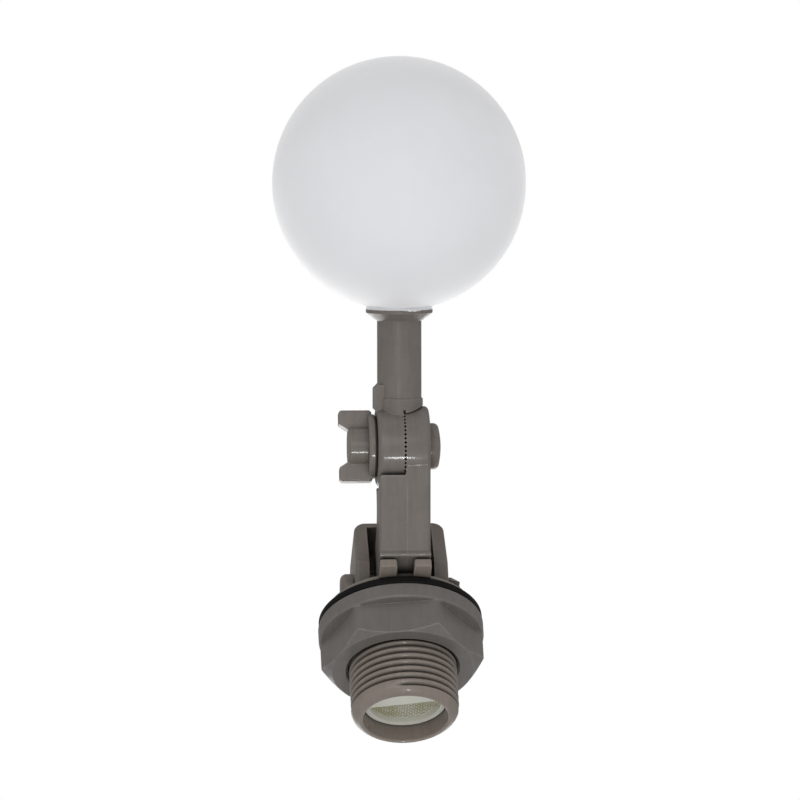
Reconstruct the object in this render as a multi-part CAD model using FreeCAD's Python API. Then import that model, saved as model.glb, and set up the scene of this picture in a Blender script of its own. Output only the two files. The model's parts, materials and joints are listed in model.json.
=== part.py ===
"""Tank float valve: side inlet, drooping lever, serrated arm clamp and ball float.

Frame: millimetres, +Z up. The origin is the centre of the flange face that seals
against the tank wall. The inlet spigot runs along -Y, out of the tank, and the
lever and the float hang on the +Y side, in the tank. X is the pivot direction.
"""
import FreeCAD, Part
import math
import os

Vector = FreeCAD.Vector

# Fits
RUNNING_FIT = 0.08
PRESS_FIT = 0.02
FREE_GAP = 0.3
THREAD_FIT = 0.15

# Overshoot of a cutting tool past a face, and the reach of an edge test
OVERSHOOT = 1.0
SNAP = 0.01

# Inlet spigot and flange
SPIGOT_LENGTH = 28.3
SPIGOT_RADIUS = 13.0
SPIGOT_ROUNDING = 1.2
SHANK_RADIUS = 12.8
SHANK_LENGTH = 14.5
INLET_BORE_RADIUS = 10.2
INLET_MOUTH_CHAMFER = 0.4
FLANGE_RADIUS = 17.9
FLANGE_THICKNESS = 2.0
FLANGE_ROUNDING = 0.5
BULKHEAD_THICKNESS = 2.5
BULKHEAD_DEPTH = 19.0
GUIDE_BORE_RADIUS = 6.0
GUIDE_MOUTH_CHAMFER = 0.6

# Stop ears on the flange, below the lever
EAR_REACH = 23.8
EAR_THICKNESS = 2.3
EAR_WIDTH = 4.15
EAR_SPACING = 4.1
EAR_ROUNDING = 0.6

# Lever housing behind the flange
HOUSING_LENGTH = 19.6
HOUSING_ROOT_WIDTH = 22.6
HOUSING_END_WIDTH = 21.6
CHEEK_GAP = 15.6
HOUSING_TOP = 9.5
ROOF_THICKNESS = 2.5
END_WALL_THICKNESS = 1.6
HOUSING_CROWN_RADIUS = 8.0
HOUSING_CORNER_RADIUS = 2.8
CHEEK_ROOT_DEPTH = 11.0
CHEEK_KNEE_DEPTH = 13.0
CHEEK_KNEE_OFFSET = 6.3
CHEEK_END_DEPTH = 9.5
CHEEK_EDGE_ROUNDING = 0.8

# Gasket and lock nut
GASKET_THICKNESS = 2.1
GASKET_RADIUS = 19.7
GASKET_EDGE = 0.4
NUT_HEIGHT = 12.2
NUT_ACROSS_FLATS = 34.3
NUT_SET_ANGLE = -7.0
NUT_FLANGE_RADIUS = 19.9
NUT_FLANGE_THICKNESS = 3.9
NUT_FLANGE_EDGE = 0.5
NUT_CHAMFER_DEPTH = 1.85
NUT_CORNER_ROUNDING = 1.4
NUT_COUNTERSINK = 0.7

# Inlet strainer
STRAINER_DEPTH = 4.4
STRAINER_LENGTH = 6.4
STRAINER_WALL = 1.4
STRAINER_LEAD = 0.4
STRAINER_SET_ANGLE = -10.6
STRAINER_RIB_WIDTH = 4.4
STRAINER_RIB_INSET = 1.1
STRAINER_RIB_HEIGHT = 2.0
MESH_THICKNESS = 0.4
MESH_REBATE = 0.6
MESH_HOLE = 1.15
MESH_PITCH = 1.75

# Orifice nozzle with its ring seal
NOZZLE_HOLE_RADIUS = 4.6
ORIFICE_RADIUS = 2.2
NOZZLE_FLANGE_RADIUS = 7.0
NOZZLE_FLANGE_THICKNESS = 1.5
SEAT_RADIUS = 3.4
SEAT_HEIGHT = 1.0
SEAT_LIP = 0.5
O_RING_SECTION = 0.9
O_RING_GROOVE_WIDTH = 1.2

# Plunger and its seal
PLUNGER_LENGTH = 6.0
PLUNGER_TAIL_RADIUS = 2.2
PLUNGER_FLUTES = 4
PLUNGER_FLUTE_RADIUS = 2.1
PLUNGER_CUP_WALL = 0.6
SEAL_RADIUS = 4.2
SEAL_THICKNESS = 2.0
SEAL_PROUD = 0.5
SEAL_SEAT_GAP = 0.05

# Lever pivot
PIN_Y = 6.6
PIN_Z = -3.7
PIN_RADIUS = 1.9
PIN_HEAD_RADIUS = 3.4
PIN_HEAD_THICKNESS = 3.1
PIN_HEAD_ROUNDING = 1.5
PIN_BARB_RADIUS = 2.4
PIN_BARB_LENGTH = 3.1
PIN_SLOT_WIDTH = 1.1
PIN_SLOT_DEPTH = 8.0

# Lever: "along" runs down the arm, "out" towards its underside
LEVER_DROOP = 33.2
LEVER_TRAVEL = 30.0
LEVER_WIDTH = 12.4
LEVER_BOSS_RADIUS = 3.6
LEVER_EDGE_ROUNDING = 0.7
LEVER_OUTER_ROUNDING = 1.0
CAM_OFFSET = 4.6
CAM_LEAD_ANGLE = 12.0
CAM_RADIUS = 4.46
CAM_WIDTH = 6.0
CAM_GAP = 0.1
JOINT_ALONG = 34.1
JOINT_OUT = 12.0
LEVER_FRONT_OUT = 8.5
LEVER_FRONT_TAPER = 1.5
LIP_ALONG = 8.3
LIP_RADIUS = 0.65
LIP_SET_BACK = 0.22
LIP_DIP = 9.15
LIP_START = 9.6
WAIST_DEPTH = 10.4
WAIST_RADIUS = 9.0
WAIST_END_ANGLE = 50.0

# Serrated clamp
DISC_RADIUS = 9.7
LEVER_DISC_WIDTH = 6.1
ARM_DISC_WIDTH = 6.5
SHOULDER_GAP = 1.0
TOOTH_COUNT = 60
TOOTH_DEPTH = 0.34
TOOTH_FILL = 0.74
TOOTH_INNER_RADIUS = 5.6
TOOTH_RECESS = 0.5
SERRATION_GAP = 0.03
BOLT_RADIUS = 2.5
BOLT_HEAD_RADIUS = 5.6
BOLT_HEAD_THICKNESS = 2.9
BOLT_HEAD_CROWN = 0.8
BOLT_HEAD_ROUNDING = 1.3
BOLT_NECK = 5.0
BOLT_NECK_LENGTH = 2.6
BOLT_END_CHAMFER = 0.4

# Wing nut
WING_FLANGE_RADIUS = 7.8
WING_FLANGE_THICKNESS = 1.9
WING_FLANGE_EDGE = 0.5
WING_HUB_RADIUS = 4.8
WING_NUT_LENGTH = 6.6
WING_RADIUS = 8.7
WING_THICKNESS = 3.2
WING_OVERHANG = 2.2
WING_ROOT_RADIUS = 3.9
WING_TIP_RADIUS = 5.3
WING_LAND = 0.9
WING_EDGE = 0.5
WING_ROUNDING = 0.4
WING_SET_ANGLE = 12.0

# Upper arm
ARM_LEAN = 3.5
STEM_OFFSET = 0.8
COLLAR_RADIUS = 5.65
COLLAR_REACH = 12.0
COLLAR_ROUNDING = 0.4
STEM_RADIUS = 5.33
FLARE_START = 30.3
FLARE_RADIUS = 8.02
FLARE_HEIGHT = 2.0
FLARE_RIM = 0.75
STEM_BORE_RADIUS = 3.6
STEM_BORE_START = 14.5
CUP_WALL = 0.9
CUP_DEPTH = 0.95
TONGUE_WIDTH = 7.0
TONGUE_THICKNESS = 2.3
TONGUE_PROUD = 0.5
TONGUE_START = 8.6
TONGUE_REACH = 15.1
TONGUE_BEVEL = 1.1
DISC_ROUNDING = 1.2

# Float
FLOAT_RADIUS = 30.5
FLOAT_WALL = 1.3
FLOAT_SPIGOT_LENGTH = 10.0
FLOAT_COLLAR_RADIUS = 7.95
FLOAT_SINK = 0.2

# Places that follow from the sizes above
HOUSING_END_Y = FLANGE_THICKNESS + HOUSING_LENGTH
CHEEK_FACE = HOUSING_ROOT_WIDTH / 2
MOUTH_Y = -SPIGOT_LENGTH
BULKHEAD_REAR_Y = MOUTH_Y + BULKHEAD_DEPTH
BULKHEAD_FRONT_Y = BULKHEAD_REAR_Y - BULKHEAD_THICKNESS
SEAT_Y = BULKHEAD_REAR_Y + SEAT_HEIGHT
HALF_LEVER = LEVER_WIDTH / 2
LEVER_FACE_Y = EAR_THICKNESS + FREE_GAP
CAM_CENTRE_Y = PIN_Y + CAM_OFFSET * math.sin(math.radians(CAM_LEAD_ANGLE))
CAM_CENTRE_Z = PIN_Z + CAM_OFFSET * math.cos(math.radians(CAM_LEAD_ANGLE))
PLUNGER_REAR_Y = CAM_CENTRE_Y - CAM_RADIUS - CAM_GAP
PLUNGER_STROKE = CAM_OFFSET * (
    math.sin(math.radians(CAM_LEAD_ANGLE))
    + math.sin(math.radians(LEVER_TRAVEL - CAM_LEAD_ANGLE))
)
SEAL_FRONT_Y = SEAT_Y + PLUNGER_STROKE + SEAL_SEAT_GAP
PLUNGER_FRONT_Y = SEAL_FRONT_Y + SEAL_PROUD
ARM_FACE_X = SERRATION_GAP / 2
WING_FACE_X = ARM_DISC_WIDTH + SERRATION_GAP / 2 + RUNNING_FIT
ARM_PITCH = LEVER_DROOP + ARM_LEAN
FLARE_TOP = FLARE_START + FLARE_HEIGHT + FLARE_RIM
FLOAT_CENTRE = FLARE_TOP - FLOAT_SINK + FLOAT_RADIUS


def lever_frame():
    """Placement whose Y is the lever's "out" and whose Z is its "along"."""
    turn = FreeCAD.Rotation(Vector(1, 0, 0), -(90 + LEVER_DROOP))
    return FreeCAD.Placement(Vector(0, PIN_Y, PIN_Z), turn)


def clamp_centre():
    """Centre of the serrated clamp in the part's frame."""
    return lever_frame().multVec(Vector(0, JOINT_OUT, JOINT_ALONG))


def arm_frame():
    """Placement of the upper arm: origin on the clamp axis, Z along the stem."""
    turn = FreeCAD.Rotation(Vector(1, 0, 0), -(90 + ARM_PITCH))
    return FreeCAD.Placement(clamp_centre(), turn)


def placed(shape, placement):
    """Copy of a shape moved from a local frame into the part's frame."""
    moved = shape.copy()
    moved.transformShape(placement.toMatrix())
    return moved


def turned_on_y(points):
    """Solid of revolution about Y from (radius, y) points."""
    outline = [Vector(radius, y, 0) for radius, y in points]
    face = Part.Face(Part.makePolygon(outline + outline[:1]))
    return face.revolve(Vector(0, 0, 0), Vector(0, 1, 0), 360)


def turned_on_x(points):
    """Solid of revolution about X from (x, radius) points."""
    outline = [Vector(x, radius, 0) for x, radius in points]
    face = Part.Face(Part.makePolygon(outline + outline[:1]))
    return face.revolve(Vector(0, 0, 0), Vector(1, 0, 0), 360)


def turned_on_z(points):
    """Solid of revolution about Z from (radius, z) points."""
    outline = [Vector(radius, 0, z) for radius, z in points]
    face = Part.Face(Part.makePolygon(outline + outline[:1]))
    return face.revolve(Vector(0, 0, 0), Vector(0, 0, 1), 360)


def cross_rod(radius, x_start, x_end, y=0.0, z=0.0):
    """Cylinder along X between two x values."""
    return Part.makeCylinder(radius, x_end - x_start, Vector(x_start, y, z), Vector(1, 0, 0))


def block(x_range, y_range, z_range):
    """Box between three pairs of limits."""
    corner = Vector(x_range[0], y_range[0], z_range[0])
    size = [pair[1] - pair[0] for pair in (x_range, y_range, z_range)]
    return Part.makeBox(size[0], size[1], size[2], corner)


def side_face(start, *steps):
    """Closed face at x = 0 from (y, z) points.

    A step is a point, reached by a straight line, or a pair of points: an arc
    through the first one that ends at the second one. A straight line closes
    an outline that doesn't end where it starts.
    """
    edges = []
    first = Vector(0, start[0], start[1])
    here = first
    for step in steps:
        if isinstance(step[0], tuple):
            middle = Vector(0, step[0][0], step[0][1])
            there = Vector(0, step[1][0], step[1][1])
            edges.append(Part.Arc(here, middle, there).toShape())
        else:
            there = Vector(0, step[0], step[1])
            edges.append(Part.makeLine(here, there))
        here = there
    if not here.isEqual(first, 1e-6):
        edges.append(Part.makeLine(here, first))
    return Part.Face(Part.Wire(edges))


def across(face, x_start, x_end):
    """Solid from a side face drawn out between two x values."""
    moved = face.copy()
    moved.translate(Vector(x_start, 0, 0))
    return moved.extrude(Vector(x_end - x_start, 0, 0))


def on_circle(centre, radius, degrees):
    """Point of a circle in a side face, its angle counted from the first axis."""
    angle = math.radians(degrees)
    return (centre[0] + radius * math.cos(angle), centre[1] + radius * math.sin(angle))


def edges_where(shape, test):
    """Edges of a shape whose middle point passes a test."""
    chosen = []
    for edge in shape.Edges:
        middle = (edge.FirstParameter + edge.LastParameter) / 2
        if test(edge.valueAt(middle)):
            chosen.append(edge)
    return chosen


def spigot_and_flange():
    """Threaded spigot, sealing flange, bulkhead and plunger bore in one turning."""
    turning = turned_on_y([
        (INLET_BORE_RADIUS + INLET_MOUTH_CHAMFER, MOUTH_Y),
        (SPIGOT_RADIUS, MOUTH_Y),
        (SPIGOT_RADIUS, -SHANK_LENGTH),
        (SHANK_RADIUS, -SHANK_LENGTH),
        (SHANK_RADIUS, 0),
        (FLANGE_RADIUS, 0),
        (FLANGE_RADIUS, FLANGE_THICKNESS),
        (GUIDE_BORE_RADIUS + GUIDE_MOUTH_CHAMFER, FLANGE_THICKNESS),
        (GUIDE_BORE_RADIUS, FLANGE_THICKNESS - GUIDE_MOUTH_CHAMFER),
        (GUIDE_BORE_RADIUS, BULKHEAD_REAR_Y),
        (NOZZLE_HOLE_RADIUS, BULKHEAD_REAR_Y),
        (NOZZLE_HOLE_RADIUS, BULKHEAD_FRONT_Y),
        (INLET_BORE_RADIUS, BULKHEAD_FRONT_Y),
        (INLET_BORE_RADIUS, MOUTH_Y + INLET_MOUTH_CHAMFER),
    ])
    mouth = edges_where(
        turning,
        lambda point: point.y < MOUTH_Y + SNAP and across_y(point) > SHANK_RADIUS,
    )
    turning = turning.makeFillet(SPIGOT_ROUNDING, mouth)
    rims = edges_where(turning, lambda point: across_y(point) > FLANGE_RADIUS - SNAP)
    return turning.makeFillet(FLANGE_ROUNDING, rims)


def across_y(point):
    """Distance of a point from the inlet axis."""
    return math.hypot(point.x, point.z)


def stop_ears():
    """Pair of ears below the flange that stop the falling lever."""
    ears = []
    for side in (-1, 1):
        inner = EAR_SPACING / 2
        limits = sorted((side * inner, side * (inner + EAR_WIDTH)))
        ear = block(limits, (0, EAR_THICKNESS), (-EAR_REACH, -FLANGE_RADIUS + EAR_THICKNESS))
        free = edges_where(
            ear,
            lambda point: point.y > SNAP and point.z < EAR_THICKNESS - FLANGE_RADIUS - SNAP,
        )
        ears.append(ear.makeFillet(EAR_ROUNDING, free))
    return ears


def housing_shell():
    """Roof, cheeks and end wall round the lever, open below."""
    crown = HOUSING_CROWN_RADIUS
    root_y = FLANGE_THICKNESS
    end_y = HOUSING_END_Y
    outer = side_face(
        (root_y, HOUSING_TOP),
        (end_y - crown, HOUSING_TOP),
        (on_circle((end_y - crown, HOUSING_TOP - crown), crown, 45), (end_y, HOUSING_TOP - crown)),
        (end_y, -CHEEK_END_DEPTH),
        (root_y + CHEEK_KNEE_OFFSET, -CHEEK_KNEE_DEPTH),
        (root_y, -CHEEK_ROOT_DEPTH),
    )
    inner_crown = crown - ROOF_THICKNESS
    inner_top = HOUSING_TOP - ROOF_THICKNESS
    inner_y = end_y - END_WALL_THICKNESS
    inner = side_face(
        (root_y, inner_top),
        (inner_y - inner_crown, inner_top),
        (on_circle((inner_y - inner_crown, inner_top - inner_crown), inner_crown, 45),
         (inner_y, inner_top - inner_crown)),
        (inner_y, -EAR_REACH),
        (root_y, -EAR_REACH),
    )
    body = across(outer, -CHEEK_FACE, CHEEK_FACE)
    body = body.common(housing_plan())
    rims = edges_where(body, is_cheek_rim)
    body = body.makeFillet(CHEEK_EDGE_ROUNDING, rims)
    return body.cut(across(inner, -CHEEK_GAP / 2, CHEEK_GAP / 2))


def housing_plan():
    """Tapered plan of the housing with rounded far corners, as a tall prism."""
    root = HOUSING_ROOT_WIDTH / 2
    end = HOUSING_END_WIDTH / 2
    points = [
        Vector(-root, FLANGE_THICKNESS, 0),
        Vector(root, FLANGE_THICKNESS, 0),
        Vector(end, HOUSING_END_Y, 0),
        Vector(-end, HOUSING_END_Y, 0),
    ]
    height = HOUSING_TOP + EAR_REACH
    face = Part.Face(Part.makePolygon(points + points[:1]))
    prism = face.extrude(Vector(0, 0, 2 * height))
    prism.translate(Vector(0, 0, -height))
    corners = edges_where(
        prism,
        lambda point: point.y > HOUSING_END_Y - SNAP and abs(point.x) > end - SNAP,
    )
    return prism.makeFillet(HOUSING_CORNER_RADIUS, corners)


def is_cheek_rim(point):
    """Whether an edge bounds the outer face of a cheek, away from the flange."""
    return abs(point.x) > CHEEK_GAP / 2 + OVERSHOOT and point.y > FLANGE_THICKNESS + SNAP


def make_valve_body():
    """One moulding: spigot, flange, ears and lever housing."""
    body = spigot_and_flange().fuse([housing_shell()] + stop_ears()).removeSplitter()
    pin_hole = cross_rod(
        PIN_RADIUS + RUNNING_FIT, -CHEEK_FACE - OVERSHOOT, CHEEK_FACE + OVERSHOOT, PIN_Y, PIN_Z
    )
    return body.cut(pin_hole)


def make_flange_gasket():
    """Rubber washer between the flange and the tank wall."""
    inner = SPIGOT_RADIUS + THREAD_FIT
    return turned_on_y([
        (inner, 0),
        (GASKET_RADIUS - GASKET_EDGE, 0),
        (GASKET_RADIUS, -GASKET_EDGE),
        (GASKET_RADIUS, GASKET_EDGE - GASKET_THICKNESS),
        (GASKET_RADIUS - GASKET_EDGE, -GASKET_THICKNESS),
        (inner, -GASKET_THICKNESS),
    ])


def make_lock_nut():
    """Flanged hexagon nut with chamfered corners."""
    rear_y = -GASKET_THICKNESS
    front_y = rear_y - NUT_HEIGHT
    flat_radius = NUT_ACROSS_FLATS / 2
    corner_radius = flat_radius / math.cos(math.pi / 6)
    slope = NUT_CHAMFER_DEPTH / (corner_radius - flat_radius)
    corners = []
    for k in range(6):
        angle = k * math.pi / 3
        corners.append(Vector(corner_radius * math.cos(angle), front_y, corner_radius * math.sin(angle)))
    hexagon = Part.Face(Part.makePolygon(corners + corners[:1])).extrude(Vector(0, NUT_HEIGHT, 0))
    outside = 2 * corner_radius
    uprights = edges_where(hexagon, lambda point: across_y(point) > corner_radius - SNAP)
    hexagon = hexagon.makeFillet(NUT_CORNER_ROUNDING, uprights)
    hexagon = hexagon.common(turned_on_y([
        (0, front_y),
        (flat_radius, front_y),
        (outside, front_y + slope * (outside - flat_radius)),
        (outside, rear_y + outside),
        (0, rear_y + outside),
    ]))
    flange = turned_on_y([
        (0, rear_y),
        (NUT_FLANGE_RADIUS, rear_y),
        (NUT_FLANGE_RADIUS, rear_y - NUT_FLANGE_THICKNESS),
        (0, rear_y - NUT_FLANGE_THICKNESS),
    ])
    rims = edges_where(flange, lambda point: across_y(point) > NUT_FLANGE_RADIUS - SNAP)
    flange = flange.makeFillet(NUT_FLANGE_EDGE, rims)
    bore_radius = SPIGOT_RADIUS + THREAD_FIT
    bore = turned_on_y([
        (0, rear_y + OVERSHOOT),
        (bore_radius, rear_y + OVERSHOOT),
        (bore_radius, front_y + NUT_COUNTERSINK),
        (bore_radius + NUT_COUNTERSINK + OVERSHOOT, front_y - OVERSHOOT),
        (0, front_y - OVERSHOOT),
    ])
    nut = hexagon.fuse(flange).removeSplitter().cut(bore)
    nut.rotate(Vector(0, 0, 0), Vector(0, 1, 0), NUT_SET_ANGLE)
    return nut


def make_inlet_strainer():
    """Push-in ring with a grip rib across it and a rebate for the mesh."""
    front_y = MOUTH_Y + STRAINER_DEPTH
    rear_y = front_y + STRAINER_LENGTH
    outer = INLET_BORE_RADIUS - PRESS_FIT
    inner = outer - STRAINER_WALL
    rib_y = front_y + STRAINER_RIB_INSET
    mesh_y = rib_y + STRAINER_RIB_HEIGHT
    ring = turned_on_y([
        (inner, front_y),
        (outer - STRAINER_LEAD / 2, front_y),
        (outer, front_y + STRAINER_LEAD),
        (outer, rear_y),
        (inner + MESH_REBATE, rear_y),
        (inner + MESH_REBATE, mesh_y),
        (inner, mesh_y),
    ])
    reach = inner + STRAINER_WALL / 2
    half = STRAINER_RIB_WIDTH / 2
    rib = block((-reach, reach), (rib_y, mesh_y), (-half, half))
    strainer = ring.fuse(rib).removeSplitter()
    strainer.rotate(Vector(0, 0, 0), Vector(0, 1, 0), STRAINER_SET_ANGLE)
    return strainer


def make_strainer_mesh():
    """Woven screen behind the grip rib, as a plate of square holes."""
    outer = INLET_BORE_RADIUS - STRAINER_WALL + MESH_REBATE - 2 * PRESS_FIT
    mesh_y = MOUTH_Y + STRAINER_DEPTH + STRAINER_RIB_INSET + STRAINER_RIB_HEIGHT
    plate = Part.makeCylinder(outer, MESH_THICKNESS, Vector(0, mesh_y, 0), Vector(0, 1, 0))
    open_radius = outer - MESH_REBATE - MESH_HOLE
    reach = int(open_radius / MESH_PITCH) + 1
    half = MESH_HOLE / 2
    through = (mesh_y - MESH_THICKNESS, mesh_y + 2 * MESH_THICKNESS)
    holes = []
    for column in range(-reach, reach + 1):
        for row in range(-reach, reach + 1):
            x = column * MESH_PITCH
            z = row * MESH_PITCH
            if math.hypot(x, z) < open_radius:
                holes.append(block((x - half, x + half), through, (z - half, z + half)))
    screen = plate.cut(Part.makeCompound(holes))
    screen.rotate(Vector(0, 0, 0), Vector(0, 1, 0), STRAINER_SET_ANGLE)
    return screen


def make_orifice_nozzle():
    """Nozzle pressed into the bulkhead: flange, grooved shank and raised seat."""
    shank = NOZZLE_HOLE_RADIUS - PRESS_FIT
    groove_y = (BULKHEAD_FRONT_Y + BULKHEAD_REAR_Y) / 2
    groove_radius = NOZZLE_HOLE_RADIUS - O_RING_SECTION
    half = O_RING_GROOVE_WIDTH / 2
    return turned_on_y([
        (ORIFICE_RADIUS, BULKHEAD_FRONT_Y - NOZZLE_FLANGE_THICKNESS),
        (NOZZLE_FLANGE_RADIUS, BULKHEAD_FRONT_Y - NOZZLE_FLANGE_THICKNESS),
        (NOZZLE_FLANGE_RADIUS, BULKHEAD_FRONT_Y),
        (shank, BULKHEAD_FRONT_Y),
        (shank, groove_y - half),
        (groove_radius, groove_y - half),
        (groove_radius, groove_y + half),
        (shank, groove_y + half),
        (shank, BULKHEAD_REAR_Y),
        (SEAT_RADIUS + SEAT_LIP, BULKHEAD_REAR_Y),
        (SEAT_RADIUS, SEAT_Y),
        (SEAT_RADIUS - SEAT_LIP, SEAT_Y),
        (ORIFICE_RADIUS, SEAT_Y - SEAT_LIP),
    ])


def make_nozzle_o_ring():
    """Rubber ring in the nozzle's groove."""
    section = O_RING_SECTION / 2
    middle_y = (BULKHEAD_FRONT_Y + BULKHEAD_REAR_Y) / 2
    ring_radius = NOZZLE_HOLE_RADIUS - section
    return Part.makeTorus(ring_radius, section - PRESS_FIT, Vector(0, middle_y, 0), Vector(0, 1, 0))


def make_plunger():
    """Fluted plunger with a cup for the seal and a tail under the cam."""
    body_radius = GUIDE_BORE_RADIUS - RUNNING_FIT
    cup_y = SEAL_FRONT_Y + SEAL_THICKNESS
    shoulder_y = PLUNGER_FRONT_Y + PLUNGER_LENGTH
    plunger = turned_on_y([
        (0, cup_y),
        (SEAL_RADIUS + PRESS_FIT, cup_y),
        (SEAL_RADIUS + PRESS_FIT, PLUNGER_FRONT_Y),
        (body_radius, PLUNGER_FRONT_Y),
        (body_radius, shoulder_y),
        (PLUNGER_TAIL_RADIUS, shoulder_y),
        (PLUNGER_TAIL_RADIUS, PLUNGER_REAR_Y),
        (0, PLUNGER_REAR_Y),
    ])
    flute_centre = SEAL_RADIUS + PLUNGER_CUP_WALL + PLUNGER_FLUTE_RADIUS
    front_y = PLUNGER_FRONT_Y - OVERSHOOT
    flute_length = PLUNGER_LENGTH + 2 * OVERSHOOT
    flutes = []
    for k in range(PLUNGER_FLUTES):
        angle = 2 * math.pi * (k + 0.5) / PLUNGER_FLUTES
        foot = Vector(flute_centre * math.cos(angle), front_y, flute_centre * math.sin(angle))
        flutes.append(Part.makeCylinder(PLUNGER_FLUTE_RADIUS, flute_length, foot, Vector(0, 1, 0)))
    return plunger.cut(Part.makeCompound(flutes))


def make_plunger_seal():
    """Rubber pad in the plunger's cup."""
    return Part.makeCylinder(
        SEAL_RADIUS, SEAL_THICKNESS, Vector(0, SEAL_FRONT_Y, 0), Vector(0, 1, 0)
    )


def make_lever_pin():
    """Pivot pin with a round head and a split, barbed end."""
    head_x = CHEEK_FACE + PIN_HEAD_THICKNESS
    barb_x = -CHEEK_FACE - RUNNING_FIT
    tip_x = barb_x - PIN_BARB_LENGTH
    pin = turned_on_x([
        (head_x, 0),
        (head_x, PIN_HEAD_RADIUS),
        (CHEEK_FACE + RUNNING_FIT, PIN_HEAD_RADIUS),
        (CHEEK_FACE + RUNNING_FIT, PIN_RADIUS),
        (barb_x, PIN_RADIUS),
        (barb_x, PIN_BARB_RADIUS),
        (barb_x - PIN_BARB_LENGTH / 3, PIN_BARB_RADIUS),
        (tip_x, PIN_RADIUS - PIN_SLOT_WIDTH / 2),
        (tip_x, 0),
    ])
    pin = pin.makeFillet(PIN_HEAD_ROUNDING, edges_where(pin, lambda point: point.x > head_x - SNAP))
    pin.translate(Vector(0, PIN_Y, PIN_Z))
    half = PIN_SLOT_WIDTH / 2
    slot = block(
        (tip_x - OVERSHOOT, tip_x + PIN_SLOT_DEPTH),
        (PIN_Y - half, PIN_Y + half),
        (PIN_Z - PIN_HEAD_RADIUS, PIN_Z + PIN_HEAD_RADIUS),
    )
    return pin.cut(slot)


def lever_side():
    """Side outline of the lever in (out, along): foot, waist and clamp disc."""
    centre = (JOINT_OUT, JOINT_ALONG)
    droop = math.radians(LEVER_DROOP)

    def from_pin(dy, dz):
        """(out, along) of a point given from the pin in the part's Y and Z."""
        out = -dy * math.sin(droop) - dz * math.cos(droop)
        along = dy * math.cos(droop) - dz * math.sin(droop)
        return (out, along)

    face_dy = LEVER_FACE_Y - PIN_Y
    front_out = JOINT_OUT + LEVER_FRONT_OUT
    kink_along = JOINT_ALONG - math.sqrt(DISC_RADIUS ** 2 - LEVER_FRONT_OUT ** 2)
    toe_out = front_out - LEVER_FRONT_TAPER
    lip = (toe_out - LIP_SET_BACK, LIP_ALONG)
    sole_along = LIP_ALONG - LIP_RADIUS
    sole_out = (sole_along * math.cos(droop) - face_dy) / math.sin(droop)
    waist_out = (front_out + toe_out) / 2 - WAIST_DEPTH
    span = DISC_RADIUS + WAIST_RADIUS
    offset = JOINT_OUT - waist_out + WAIST_RADIUS
    waist = (JOINT_OUT - offset, JOINT_ALONG - math.sqrt(span ** 2 - offset ** 2))
    blend_angle = math.degrees(math.acos(offset / span))
    boss = LEVER_BOSS_RADIUS
    return side_face(
        (front_out, kink_along),
        (toe_out - LIP_SET_BACK, LIP_START),
        ((toe_out - LIP_SET_BACK / 2, LIP_DIP), on_circle(lip, LIP_RADIUS, 60)),
        (on_circle(lip, LIP_RADIUS, 0), on_circle(lip, LIP_RADIUS, -60)),
        (sole_out, sole_along),
        from_pin(face_dy, -boss),
        from_pin(-boss, 0),
        (from_pin(0, boss), from_pin(boss, 0)),
        on_circle(waist, WAIST_RADIUS, -WAIST_END_ANGLE),
        (on_circle(waist, WAIST_RADIUS, 0), on_circle(waist, WAIST_RADIUS, blend_angle)),
        (on_circle(centre, DISC_RADIUS, 90), (front_out, kink_along)),
    )


def serration(side):
    """Radial grooves for a clamp face at x = 0; side is the way they cut in."""
    reach = DISC_RADIUS + OVERSHOOT
    half = reach * math.tan(math.pi / TOOTH_COUNT) * TOOTH_FILL
    depth = TOOTH_DEPTH * reach / DISC_RADIUS
    above = -side * TOOTH_DEPTH
    grooves = []
    for k in range(TOOTH_COUNT):
        rim = Part.makePolygon([
            Vector(above, -half, reach),
            Vector(0, -half, reach),
            Vector(side * depth, 0, reach),
            Vector(0, half, reach),
            Vector(above, half, reach),
            Vector(above, -half, reach),
        ])
        scale = TOOTH_INNER_RADIUS / reach / 2
        root = Part.makePolygon([
            Vector(above, -half * scale, reach * scale),
            Vector(0, -half * scale, reach * scale),
            Vector(side * depth * scale, 0, reach * scale),
            Vector(0, half * scale, reach * scale),
            Vector(above, half * scale, reach * scale),
            Vector(above, -half * scale, reach * scale),
        ])
        groove = Part.makeLoft([root, rim], True, True)
        groove.rotate(Vector(0, 0, 0), Vector(1, 0, 0), 360.0 * k / TOOTH_COUNT)
        grooves.append(groove)
    return Part.makeCompound(grooves)


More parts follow.
